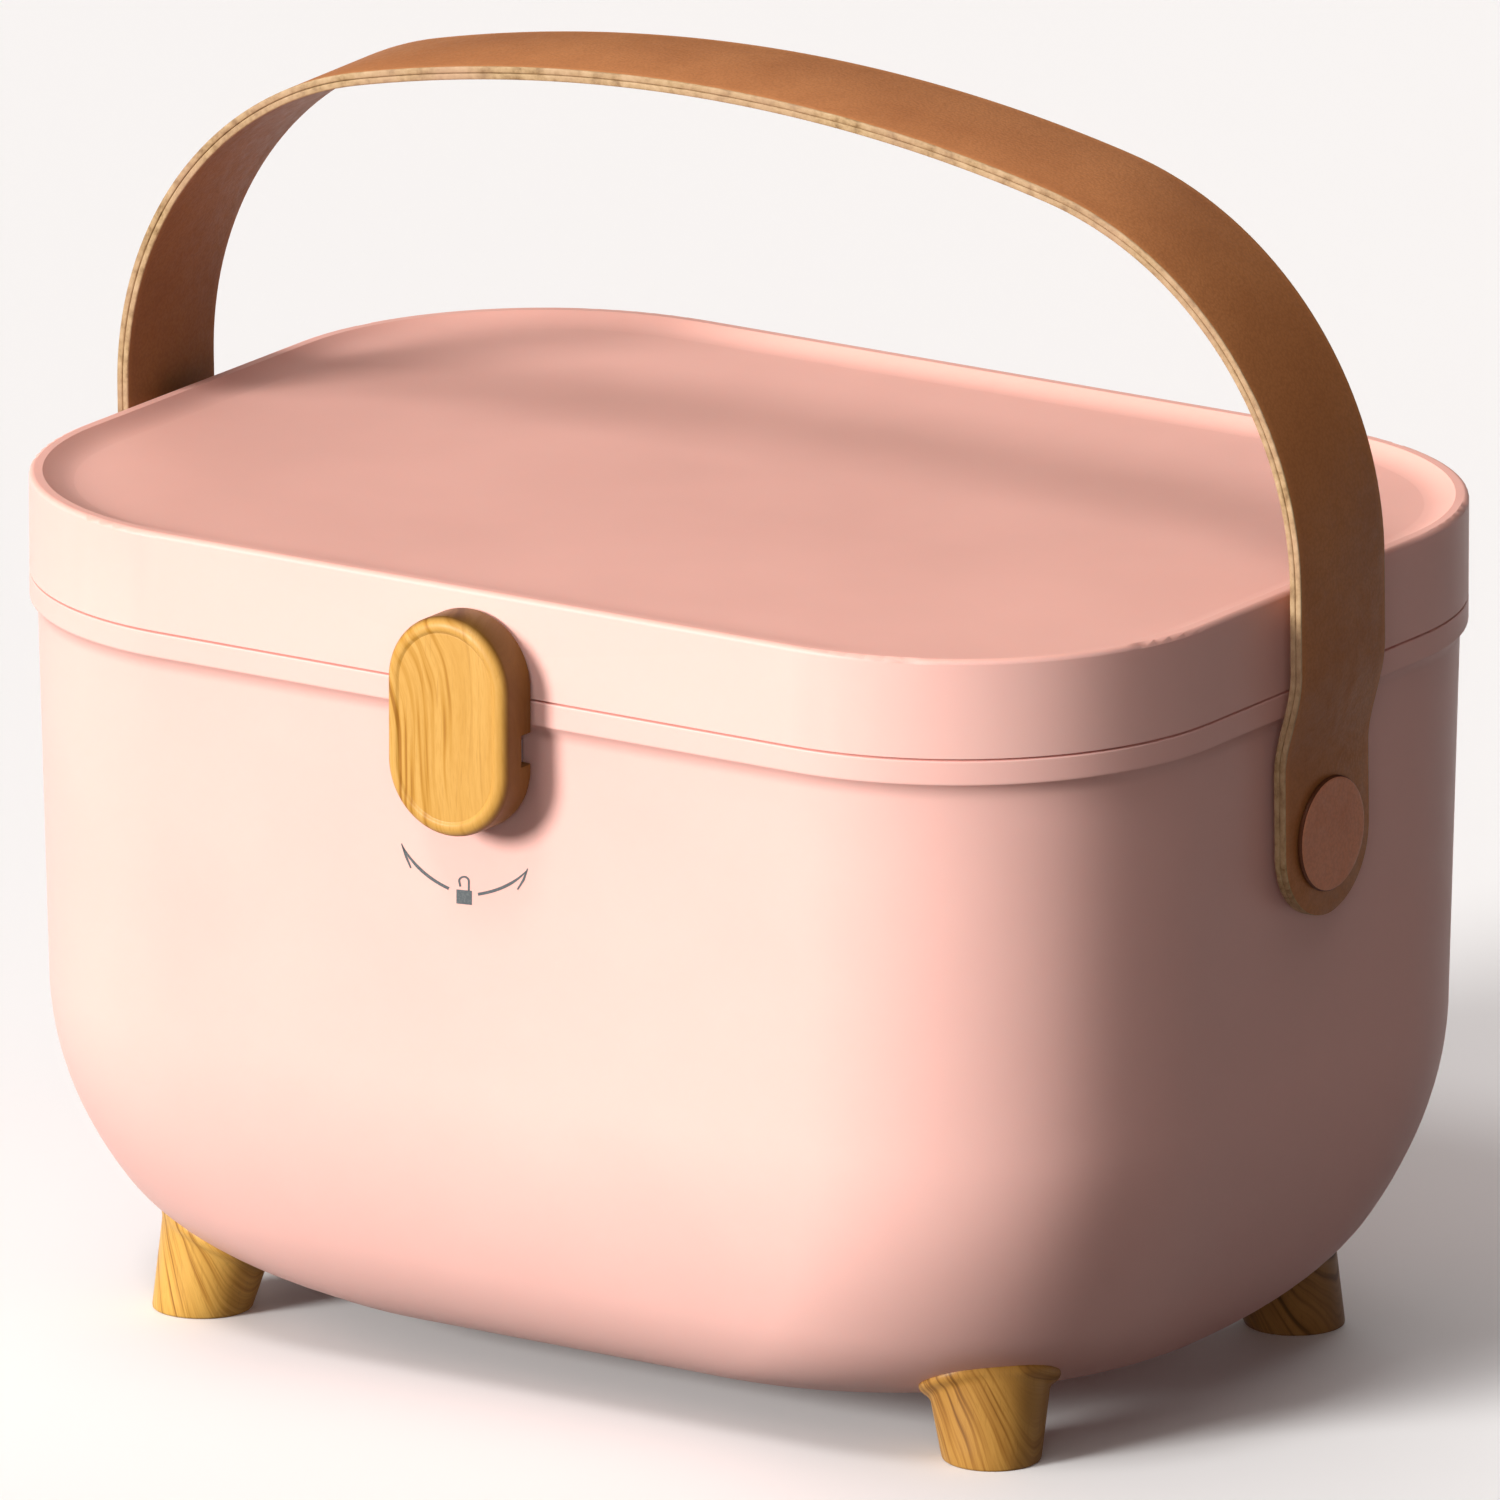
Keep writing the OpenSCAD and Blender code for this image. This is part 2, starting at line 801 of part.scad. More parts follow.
module strap_layer(from, to) {
    end_height = pivot_height - tab_reach + strap_width / 2;
    translate([0, 0, pivot_height])
        rotate([handle_lean, 0, 0])
            translate([0, 0, -pivot_height])
                difference() {
                    intersection() {
                        rotate([90, 0, 0])
                            linear_extrude(height = strap_width, center = true)
                                layer_outline(from, to);
                        union() {
                            rod_x([-box_length, 0, end_height], 2 * box_length, strap_width / 2);
                            translate([-box_length, -strap_width / 2 - overrun, end_height])
                                cube([2 * box_length, strap_width + 2 * overrun, box_height + arch_rise]);
                        }
                    }
                    rod_x([-box_length, 0, pivot_height], 2 * box_length, eyelet_radius);
                }
}

module strap_outer() {
    color(leather)
        strap_layer(layer_thickness, strap_thickness);
}

module strap_inner() {
    color(leather_edge)
        strap_layer(0, layer_thickness);
}

module strap_eyelets() {
    color(steel)
        at_both_pivots()
            difference() {
                rod_x([tab_inner, 0, pivot_height], strap_thickness, eyelet_radius);
                rod_x(
                    [tab_inner - overrun, 0, pivot_height],
                    strap_thickness + 2 * overrun,
                    pivot_pin_radius + pin_clearance
                );
            }
}

// A stepped pin: a flange outside the strap, a smooth shoulder, and a thread to the nut inside
module pivot_pins() {
    color(steel)
        at_both_pivots() {
            rod_x(
                [pad_face + fixed_clearance, 0, pivot_height],
                tab_outer + slip_gap - pad_face,
                pivot_pin_radius
            );
            rod_x([tab_outer + slip_gap, 0, pivot_height], pin_flange_height, pin_flange_radius);
            rod_x(
                [cavity_side - soft_gap - nut_height, 0, pivot_height],
                pad_face - cavity_side + soft_gap + nut_height + 2 * fixed_clearance,
                pin_thread_radius
            );
        }
}

module pivot_spacers() {
    color(steel)
        at_both_pivots()
            difference() {
                rod_x([pad_face + slip_gap, 0, pivot_height], spacer_thickness, pad_radius);
                rod_x([pad_face, 0, pivot_height], 2 * spacer_thickness, pivot_pin_radius + fixed_clearance);
            }
}

module pivot_nuts() {
    color(steel)
        at_both_pivots()
            difference() {
                translate([cavity_side - nut_height - soft_gap, 0, pivot_height])
                    rotate([0, 90, 0])
                        cylinder(h = nut_height, r = nut_radius, $fn = 6);
                rod_x(
                    [cavity_side - 2 * nut_height, 0, pivot_height],
                    3 * nut_height,
                    pin_thread_radius + fixed_clearance
                );
            }
}

module pivot_caps() {
    cap_face = tab_outer + soft_gap;
    hollow = slip_gap + pin_flange_height + fixed_clearance - soft_gap;
    color(leather)
        at_both_pivots()
            translate([cap_face, 0, pivot_height])
                rotate([0, 90, 0])
                    rotate_extrude()
                        difference() {
                            union() {
                                square([cap_radius - cap_thickness / 2, cap_thickness]);
                                square([cap_radius, cap_thickness / 2]);
                                translate([cap_radius - cap_thickness / 2, cap_thickness / 2])
                                    circle(cap_thickness / 2);
                            }
                            translate([-overrun, -overrun])
                                square([pin_flange_radius + fixed_clearance + overrun, hollow + overrun]);
                            translate([0, -cap_thickness])
                                square([2 * cap_radius, cap_thickness]);
                        }
}

// Tray and dividers

// The tray's outline from above, drawn in by a given amount
module tray_plan(inset) {
    intersection() {
        box_plan(tray_inset + inset);
        translate([-box_length, -box_depth / 2])
            square([box_length + tray_edge - inset, box_depth]);
    }
}

// Places its children at each loose divider's middle in the tray's front row
module at_tray_dividers() {
    for (k = [1:tray_divider_count])
        translate([-tray_left + tray_wall + k * divider_pitch, 0, tray_bottom + tray_wall])
            children();
}

module divider_guides() {
    step = divider_thickness / 2 + slot_gap;
    for (side = [-1, 1]) {
        translate([side * (step + guide_size / 2) - guide_size / 2, -row_front - root / 2, -root / 2])
            cube([guide_size, guide_size + root / 2, divider_height]);
        translate([
            side * (step + guide_size / 2) - guide_size / 2,
            tray_row_wall - tray_wall / 2 - guide_size,
            -root / 2
        ])
            cube([guide_size, guide_size + root / 2, divider_height]);
    }
}

module tray() {
    color(tray_white)
        difference() {
            union() {
                difference() {
                    union() {
                        translate([0, 0, tray_bottom])
                            linear_extrude(height = tray_depth)
                                tray_plan(0);
                        translate([0, 0, flange_bottom])
                            linear_extrude(height = flange_thickness)
                                tray_plan(-flange_reach);
                    }
                    translate([0, 0, tray_bottom + tray_wall])
                        linear_extrude(height = tray_depth)
                            tray_plan(tray_wall);
                }
                intersection() {
                    translate([0, 0, tray_bottom])
                        linear_extrude(height = tray_depth)
                            tray_plan(tray_wall / 2);
                    union() {
                        translate([-box_length, tray_row_wall - tray_wall / 2, tray_bottom])
                            cube([2 * box_length, tray_wall, tray_depth - flange_thickness]);
                        at_tray_dividers()
                            divider_guides();
                    }
                }
            }
            translate([tray_edge - tray_wall - overrun, tray_row_wall - grip_width - grip_offset, tray_top - grip_depth])
                cube([flange_reach + tray_wall + 2 * overrun, grip_width, grip_depth + overrun]);
        }
}

module tray_dividers() {
    color(tray_white)
        at_tray_dividers()
            translate([-divider_thickness / 2, slot_gap - row_front, slot_gap])
                cube([
                    divider_thickness,
                    row_front + tray_row_wall - tray_wall / 2 - 2 * slot_gap,
                    divider_height
                ]);
}

module well_divider() {
    reach = corner_radius + middle_depth / 2;
    color(tray_white)
        translate([well_divider_x, 0, 0])
            rotate([90, 0, 90])
                linear_extrude(height = divider_thickness, center = true)
                    intersection() {
                        for (side = [0, 1])
                            mirror([side, 0]) {
                                translate([middle_depth / 2, 0])
                                    tub_section(tub_wall + slot_gap, tub_top);
                                translate([0, tub_clearance + tub_wall + slot_gap])
                                    square([middle_depth / 2, box_height]);
                            }
                        translate([-reach, 0])
                            square([2 * reach, well_divider_top]);
                    }
}

tub();
lid();
hinge_pins();
latch_knob();
latch_face();
latch_screw();
latch_washer();
latch_keeper();
keeper_screws();
foot(-1, -1);  // foot_front_left
foot(1, -1);  // foot_front_right
foot(-1, 1);  // foot_rear_left
foot(1, 1);  // foot_rear_right
foot_screws();
strap_outer();
strap_inner();
strap_eyelets();
pivot_pins();
pivot_spacers();
pivot_nuts();
pivot_caps();
tray();
tray_dividers();
well_divider();
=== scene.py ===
"""Medicine box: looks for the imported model. Metres, same frame as the CAD."""
import math

import bmesh
import bpy
from mathutils import Matrix, Vector
from mathutils.bvhtree import BVHTree


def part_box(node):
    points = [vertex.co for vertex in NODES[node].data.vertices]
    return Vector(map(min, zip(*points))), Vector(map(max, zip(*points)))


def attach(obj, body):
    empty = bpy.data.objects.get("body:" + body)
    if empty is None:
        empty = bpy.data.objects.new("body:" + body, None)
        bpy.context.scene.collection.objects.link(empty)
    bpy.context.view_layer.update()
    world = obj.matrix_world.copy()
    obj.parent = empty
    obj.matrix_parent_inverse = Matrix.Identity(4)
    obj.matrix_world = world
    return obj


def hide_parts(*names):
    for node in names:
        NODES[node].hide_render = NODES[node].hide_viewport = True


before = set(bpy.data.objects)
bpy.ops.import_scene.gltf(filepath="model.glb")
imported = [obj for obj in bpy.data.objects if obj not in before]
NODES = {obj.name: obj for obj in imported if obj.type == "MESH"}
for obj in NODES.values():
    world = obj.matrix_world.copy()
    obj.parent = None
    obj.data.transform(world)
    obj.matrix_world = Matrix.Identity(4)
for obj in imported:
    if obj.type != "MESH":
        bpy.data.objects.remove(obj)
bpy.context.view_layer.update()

# Sizes that several pieces share
BOX_HEIGHT = 0.1935
HALF_LENGTH = 0.150
HALF_DEPTH = 0.1095
PIVOT_HEIGHT = 0.1361
STRAP_WIDTH = 0.0345
STRAP_LEAN = math.radians(1.2)


# Materials


class Shader:
    """A Principled material, built node by node."""

    def __init__(self, name):
        self.material = bpy.data.materials.new(name)
        self.material.use_nodes = True
        self.tree = self.material.node_tree
        self.bsdf = self.tree.nodes["Principled BSDF"]

    def add(self, kind, inputs=(), **settings):
        """A new node, with a plain value or another node's output for each input."""
        node = self.tree.nodes.new("ShaderNode" + kind)
        for key, value in settings.items():
            setattr(node, key, value)
        for key, value in dict(inputs).items():
            self.feed(node, key, value)
        return node

    def feed(self, node, key, value):
        if isinstance(value, bpy.types.NodeSocket):
            self.tree.links.new(value, node.inputs[key])
        else:
            node.inputs[key].default_value = value

    def set(self, **values):
        """Sets inputs of the finish. An underscore stands for a space in their names."""
        for key, value in values.items():
            self.feed(self.bsdf, key.replace("_", " "), value)

    def coords(self, scale=(1, 1, 1)):
        """The place on the object, scaled along each axis."""
        source = self.add("TexCoord").outputs["Object"]
        return self.add("Mapping", {"Vector": source, "Scale": scale}).outputs[0]

    def split(self, vector):
        """The X, Y and Z of a vector."""
        return self.add("SeparateXYZ", {"Vector": vector}).outputs

    def noise(self, where, scale, detail=3.0, rough=0.5):
        inputs = {"Vector": where, "Scale": scale, "Detail": detail, "Roughness": rough}
        return self.add("TexNoise", inputs).outputs["Fac"]

    def ramp(self, value, *stops):
        """A colour ramp of three or more stops, each with its place and colour."""
        node = self.add("ValToRGB", {"Fac": value})
        elements = node.color_ramp.elements
        while len(elements) < len(stops):
            elements.new(0.5)
        for element, (place, colour) in zip(elements, stops):
            element.position = place
            element.color = (*colour, 1)
        return node.outputs[0]

    def mix(self, factor, a, b, blend="MIX"):
        """Two colours mixed by a factor. Inputs 6 and 7 of the node are its two colours."""
        node = self.add("Mix", {0: factor}, data_type="RGBA", blend_type=blend)
        for key, colour in ((6, a), (7, b)):
            self.feed(node, key, (*colour, 1) if isinstance(colour, tuple) else colour)
        return node.outputs[2]

    def math(self, operation, a, b):
        return self.add("Math", {0: a, 1: b}, operation=operation).outputs[0]

    def span(self, value, low, high, to_low=0.0, to_high=1.0):
        """Maps low to high onto another range, and holds its ends beyond."""
        inputs = {"Value": value, "From Min": low, "From Max": high, "To Min": to_low, "To Max": to_high}
        return self.add("MapRange", inputs).outputs[0]

    def bump(self, height, strength, distance):
        node = self.add("Bump", {"Height": height, "Strength": strength, "Distance": distance})
        self.feed(self.bsdf, "Normal", node.outputs[0])


def srgb(*levels):
    """The linear colour for screen levels from 0 to 255."""
    shares = [level / 255 for level in levels]
    return tuple(c / 12.92 if c <= 0.04045 else ((c + 0.055) / 1.055) ** 2.4 for c in shares)


def toned(colour, factor):
    """A colour made darker or lighter by a factor."""
    return tuple(min(1, c * factor) for c in colour)


# Heights between which the lid's band colour gives way to the painted shade of its top
PAINTED_TOP_SHADE_LOW, PAINTED_TOP_SHADE_HIGH = 0.186, 0.1875


def plastic(name, base, top=None):
    """Satin moulded plastic with a faint flow mottle. A lid's upward faces also get painted shade: the deeper
    colour in top, for how the light falls on its top.
    """
    s = Shader(name)
    where = s.coords()
    cloud = s.noise(where, 22, 4, 0.55)
    fine = s.noise(where, 900, 2, 0.5)
    colour = s.mix(s.span(cloud, 0.3, 0.7), toned(base, 0.975), toned(base, 1.02))
    # Painted shade: upward faces above the band take the deeper top colour, for how the light falls on the
    # lid's top
    if top:
        upward = s.split(s.add("NewGeometry").outputs["Normal"])["Z"]
        height = s.split(where)["Z"]
        shade = s.mix(s.span(cloud, 0.3, 0.7), toned(top, 0.97), toned(top, 1.02))
        high = s.span(height, PAINTED_TOP_SHADE_LOW, PAINTED_TOP_SHADE_HIGH)
        colour = s.mix(s.math("MULTIPLY", s.span(upward, 0.35, 0.75), high), colour, shade)
    edge = s.add("NewGeometry").outputs["Pointiness"]
    worn = s.span(edge, 0.53, 0.60, 0.0, 0.35)
    colour = s.mix(worn, colour, toned(base, 1.12))
    s.set(Base_Color=colour, Roughness=s.span(cloud, 0.25, 0.75, 0.39, 0.47))
    s.set(IOR=1.48, Specular_IOR_Level=0.2)
    s.set(Subsurface_Weight=0.12, Subsurface_Radius=(0.6, 0.25, 0.18), Subsurface_Scale=0.004)
    s.bump(fine, 0.05, 0.0002)
    return s.material


def timber(name, grain, tones, bow, crest, fade=None, side_painted_shade=None):
    """
    Oiled wood in a light, a middle and a dark tone. Growth rings lie across the direction in grain and
    bend over above the height in crest.
    fade holds two places along X, between which the bold rings give way to faint, straighter ones.
    The last argument is painted shade: a colour multiplied into the faces that turn away from the front.
    """
    s = Shader(name)
    where = s.coords()
    height = s.split(where)["Z"]
    bold, bend = 1.0, bow
    if fade:
        start, end = fade
        lead = 0.012
        along = s.split(where)["X"]
        bold = s.span(along, start, end, 1.0, 0.25)
        bend = s.span(along, start - lead, end, bow, bow * 0.25)
    across = s.add("VectorMath", {0: where, 1: grain}, operation="DOT_PRODUCT").outputs["Value"]
    rise = s.math("MAXIMUM", s.math("SUBTRACT", height, crest), 0.0)
    arch = s.math("MULTIPLY", s.math("MULTIPLY", rise, rise), bend)
    sway = s.noise(s.coords((1, 1, 0.35)), 60, 2, 0.4)
    drift = s.math("MULTIPLY", s.math("SUBTRACT", sway, 0.5), 0.008)
    place = s.math("ADD", s.math("ADD", across, arch), drift)

    def streaks(stretch, scale, detail, rough):
        """Noise across the grain, drawn out along the height."""
        drawn = s.add("CombineXYZ", {"X": place, "Z": s.math("MULTIPLY", height, stretch)}).outputs[0]
        return s.noise(drawn, scale, detail, rough)

    tone = streaks(0.04, 190, 1, 0.5)
    rings = streaks(0.04, 560, 2, 0.55)
    hairs = streaks(0.1, 2600, 2, 0.6)
    pores = s.noise(s.coords((1, 1, 0.06)), 1900, 2, 0.6)
    pale, amber, deep = (srgb(*levels) for levels in tones)
    warm = tuple(0.65 * a + 0.35 * b for a, b in zip(pale, amber))
    colour = s.mix(s.span(tone, 0.38, 0.62), pale, warm)
    colour = s.mix(s.span(hairs, 0.45, 0.70, 0, 0.35), colour, amber)
    colour = s.mix(s.math("MULTIPLY", s.span(rings, 0.47, 0.60), bold), colour, amber)
    colour = s.mix(s.math("MULTIPLY", s.span(rings, 0.58, 0.68, 0, 0.9), bold), colour, deep)
    colour = s.mix(s.span(pores, 0.58, 0.75, 0, 0.25), colour, deep)
    # Painted shade: the faces that turn away from the front are multiplied darker
    if side_painted_shade:
        facing = s.split(s.add("NewGeometry").outputs["Normal"])["Y"]
        shaded = s.mix(1.0, colour, side_painted_shade, "MULTIPLY")
        colour = s.mix(s.span(facing, -0.85, -0.25), colour, shaded)
    s.set(Base_Color=colour, Roughness=s.span(rings, 0.3, 0.7, 0.40, 0.52), IOR=1.5, Specular_IOR_Level=0.28)
    s.set(Coat_Weight=0.06, Coat_Roughness=0.3)
    s.bump(s.math("ADD", s.math("MULTIPLY", rings, -0.5), s.math("MULTIPLY", pores, -0.5)), 0.15, 0.0002)
    return s.material


def hide(name, base, deep, roughness=0.48, strap=False):
    """Coated leather: fine pebble grain and soft cloudy dye. A strap's long edges are rubbed lighter."""
    s = Shader(name)
    where = s.coords()
    pebble = s.add("TexVoronoi", {"Vector": where, "Scale": 1300, "Randomness": 1.0}).outputs["Distance"]
    crease = s.noise(where, 380, 4, 0.6)
    cloud = s.noise(where, 35, 4, 0.6)
    colour = s.mix(s.span(cloud, 0.3, 0.7), base, deep)
    colour = s.mix(s.span(pebble, 0.35, 0.75, 0, 0.3), colour, toned(deep, 0.72))
    if strap:
        rubbed_width = 0.0022
        place = s.split(where)
        lean = s.math("MULTIPLY", s.math("SUBTRACT", place["Z"], PIVOT_HEIGHT), math.sin(STRAP_LEAN))
        off_middle = s.math("ABSOLUTE", s.math("ADD", place["Y"], lean), 0.0)
        rubbed = s.span(off_middle, STRAP_WIDTH / 2 - rubbed_width, STRAP_WIDTH / 2, 0, 0.35)
        colour = s.mix(rubbed, colour, toned(base, 1.5))
    s.set(Base_Color=colour, Roughness=s.span(crease, 0.3, 0.7, roughness - 0.06, roughness + 0.1))
    s.set(IOR=1.46, Specular_IOR_Level=0.22)
    s.bump(s.math("ADD", s.math("MULTIPLY", pebble, -0.7), s.math("MULTIPLY", crease, 0.6)), 0.22, 0.00025)
    return s.material


def cut_edge(name):
    """The cut edge of the leather: pale fibres that run along it, with darker flecks."""
    s = Shader(name)
    fibre = s.noise(s.coords((0.25, 1, 0.25)), 1500, 4, 0.65)
    cloud = s.noise(s.coords(), 45)
    colour = s.ramp(fibre, (0.3, srgb(128, 98, 62)), (0.5, srgb(174, 144, 104)), (0.75, srgb(200, 172, 134)))
    colour = s.mix(s.span(cloud, 0.4, 0.65, 0, 0.6), colour, srgb(186, 150, 122))
    s.set(Base_Color=colour, Roughness=s.span(fibre, 0.3, 0.7, 0.55, 0.75), Specular_IOR_Level=0.3)
    s.bump(fibre, 0.25, 0.00015)
    return s.material


def metal(name, colour):
    """Brushed metal."""
    s = Shader(name)
    brush = s.noise(s.coords((1, 1, 30)), 900, 3, 0.6)
    tint = s.mix(s.span(brush, 0.3, 0.7), toned(colour, 0.9), colour)
    s.set(Base_Color=tint, Metallic=1.0, Roughness=s.span(brush, 0.3, 0.7, 0.32, 0.46))
    s.bump(brush, 0.06, 0.0001)
    return s.material


def matt(name, colour):
    """Fine-grained matt plastic."""
    s = Shader(name)
    cloud = s.noise(s.coords(), 30, 4, 0.55)
    fine = s.noise(s.coords(), 1400, 2, 0.5)
    tint = s.mix(s.span(cloud, 0.3, 0.7), toned(colour, 0.96), colour)
    s.set(Base_Color=tint, Roughness=s.span(fine, 0.3, 0.7, 0.5, 0.6))
    s.bump(fine, 0.12, 0.0002)
    return s.material


def ink(name):
    """Slightly speckled grey print."""
    s = Shader(name)
    speck = s.noise(s.coords(), 2200, 3, 0.6)
    tint = s.mix(s.span(speck, 0.45, 0.75, 0, 0.6), srgb(78, 84, 86), srgb(128, 132, 132))
    s.set(Base_Color=tint, Roughness=s.span(speck, 0.3, 0.7, 0.45, 0.6))
    return s.material


SHELL = srgb(249, 195, 184)
# The lid's top colour is painted shade: the same plastic as the band, made deeper for how the light falls on
# the top
LID_TOP_PAINTED_SHADE = srgb(240, 182, 168)
tub_plastic = plastic("tub plastic", SHELL)
lid_plastic = plastic("lid plastic", SHELL, top=LID_TOP_PAINTED_SHADE)
# The knob's sides get painted shade from the last argument
knob_wood = timber("knob wood", (1, 0.15, 0.05), ((212, 162, 84), (188, 134, 48), (156, 102, 28)),
                   bow=14, crest=0.160, fade=(0.0, 0.004), side_painted_shade=(0.30, 0.245, 0.10))
leather = hide("strap leather", srgb(192, 126, 76), srgb(174, 110, 64), strap=True)
lining = hide("strap lining", srgb(150, 108, 66), srgb(134, 94, 58), strap=True)
cap_leather = hide("cap leather", srgb(236, 158, 120), srgb(220, 142, 106), roughness=0.42)
# Painted shadow: a dark brown for the cap's edge, where shade rings the disc
cap_rim_painted_shadow = hide("cap rim painted shadow", srgb(112, 62, 36), srgb(88, 48, 28))
raw_edge = cut_edge("strap edge")
steel = metal("brushed steel", (0.50, 0.51, 0.53))
tray_plastic = matt("tray plastic", srgb(242, 238, 232))
print_ink = ink("printed mark")

CARRIED_OVER = (
    (lid_plastic, ("lid",)),
    (steel, ("hinge_pins", "latch_screw", "latch_washer", "latch_keeper", "keeper_screws", "foot_screws",
             "strap_eyelets", "pivot_pins", "pivot_spacers", "pivot_nuts")),
    (tray_plastic, ("tray", "tray_dividers", "well_divider")),
    (knob_wood, ("latch_knob", "latch_face")),
)
EASED_EDGES = {"tray": 0.0004, "tray_dividers": 0.0003, "well_divider": 0.0003, "latch_keeper": 0.0003,
               "pivot_spacers": 0.0002, "pivot_nuts": 0.0003}
PALE_WOOD = ((226, 176, 88), (190, 136, 56), (140, 92, 36))
AMBER_WOOD = ((190, 140, 66), (156, 106, 42), (112, 72, 24))
BROWN_WOOD = ((156, 110, 58), (122, 82, 38), (86, 56, 24))
# Each peg's side of the box along X and Y, and its tones
FEET = {
    "foot_front_left": (-1, -1, PALE_WOOD),
    "foot_front_right": (1, -1, AMBER_WOOD),
    "foot_rear_left": (-1, 1, AMBER_WOOD),
    "foot_rear_right": (1, 1, BROWN_WOOD),
}


def dress(node, material):
    """Gives a CAD node one material."""
    mesh = NODES[node].data
    mesh.materials.clear()
    mesh.materials.append(material)


def soften(obj, width, segments, angle):
    """A small bevel on the edges of an object that are sharper than an angle."""
    modifier = obj.modifiers.new("edge", "BEVEL")
    modifier.width = width
    modifier.segments = segments
    modifier.limit_method = "ANGLE"
    modifier.angle_limit = math.radians(angle)


for material, names in CARRIED_OVER:
    for name in names:
        dress(name, material)
for name, (_, _, tones) in FEET.items():
    dress(name, timber(name + " wood", (1.39, 0.14, 0.52), tones, bow=6, crest=0.004))
for name, width in EASED_EDGES.items():
    soften(NODES[name], width, segments=3, angle=35)


# Mesh helpers


def add_object(name, data):
    """Puts a new object into the scene."""
    obj = bpy.data.objects.new(name, data)
    bpy.context.scene.collection.objects.link(obj)
    return obj


WELD = 1e-6


def piece(name, points, faces, materials, body, replaced=(), sharp=None, indices=()):
    """
    A mesh that rides on a body. It is shaded smooth up to the angle in sharp, or flat without one.
    indices gives each face's place in the list of materials.
    """
    mesh = bpy.data.meshes.new(name)
    mesh.from_pydata([tuple(p) for p in points], [], faces)
    for material in materials:
        mesh.materials.append(material)
    for polygon, index in zip(mesh.polygons, indices):
        polygon.material_index = index
    mesh.validate()
    obj = add_object(name, mesh)
    welded = bmesh.new()
    welded.from_mesh(mesh)
    bmesh.ops.remove_doubles(welded, verts=welded.verts, dist=WELD)
    bmesh.ops.recalc_face_normals(welded, faces=welded.faces)
    welded.to_mesh(mesh)
    welded.free()
    if sharp:
        mesh.shade_smooth()
        mesh.set_sharp_from_angle(angle=math.radians(sharp))
    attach(obj, body)
    if replaced:
        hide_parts(*replaced)
    return obj


def rings_to_faces(count, size, close=False):
    """Quads between neighbouring rings of the same size. close joins the last ring to the first."""
    faces = []
    for k in range(count if close else count - 1):
        n = (k + 1) % count
        for i in range(size):
            j = (i + 1) % size
            faces.append((k * size + i, k * size + j, n * size + j, n * size + i))
    return faces


def tube_faces(count, size):
    """Quads between neighbouring rings, then a face over the first ring and one over the last."""
    last = (count - 1) * size
    return rings_to_faces(count, size) + [tuple(range(size)), tuple(range(last, last + size))]


def full_turn(steps):
    """The angles of one turn in equal steps."""
    return [2 * math.pi * k / steps for k in range(steps)]


def pivot_ring(x, radius, steps):
    """A ring round the axis that the strap swings on."""
    return [Vector((x, radius * math.cos(a), PIVOT_HEIGHT + radius * math.sin(a)))
            for a in full_turn(steps)]


def arc(centre, radius, start, end, steps):
    """Points on an arc, from one angle in degrees to another."""
    angles = [math.radians(start + (end - start) * k / steps) for k in range(steps + 1)]
    return [(centre[0] + radius * math.cos(a), centre[1] + radius * math.sin(a)) for a in angles]


class Form:
    """Collects small closed solids that join the tub's shell."""

    def __init__(self):
        self.points, self.faces = [], []

    def tube(self, rings):
        base = len(self.points)
        for ring in rings:
            self.points += ring
        self.faces += [tuple(base + i for i in face) for face in tube_faces(len(rings), len(rings[0]))]

    def block(self, low, high):
        """A block whose upright edges and top and bottom edges are eased."""
        ease = 0.0003
        (x0, y0, z0), (x1, y1, z1) = low, high
        rings = []
        for z, d in ((z0, ease), (z0 + ease, 0), (z1 - ease, 0), (z1, ease)):
            b = ease + d
            plan = ((x0 + b, y0 + d), (x1 - b, y0 + d), (x1 - d, y0 + b), (x1 - d, y1 - b),
                    (x1 - b, y1 - d), (x0 + b, y1 - d), (x0 + d, y1 - b), (x0 + d, y0 + b))
            rings.append([Vector((x, y, z)) for x, y in plan])
        self.tube(rings)


# View: the camera stands far off with a long lens

PHOTO_SIZE = 1500
LENS, SENSOR = 810, 36
CAMERA_DISTANCE = 7.5
CAMERA_RIGHT, CAMERA_DOWN = 0.00041, 0.06004
AZIMUTH, ELEVATION = math.radians(33.51), math.radians(15.78)

level = math.cos(ELEVATION)
back = Vector((math.sin(AZIMUTH) * level, -math.cos(AZIMUTH) * level, math.sin(ELEVATION)))
right = Vector((math.cos(AZIMUTH), math.sin(AZIMUTH), 0))
up = back.cross(right)
camera_place = Vector((0, 0, BOX_HEIGHT)) + back * CAMERA_DISTANCE + right * CAMERA_RIGHT - up * CAMERA_DOWN


# Tub: the foot of the wall is a longer and flatter curve than the solid's, as the photograph shows

CORNER = 0.066
WALL = 0.0025
WALL_TOP = 0.16118
SETBACK, WALL_LEAN = 0.0019, 0.002
COVE_RADIUS = 0.005
RIM_BOTTOM, TUB_TOP, LIP_TOP = 0.16485, 0.1705, 0.1735
# Below the wall comes an arc of the upper radius, and then one of the lower radius down to the underside
UPPER_RADIUS, UPPER_ANGLE = 0.113087, 0.427
UNDERSIDE, FLAT_CORNER = 0.0075, 0.013567
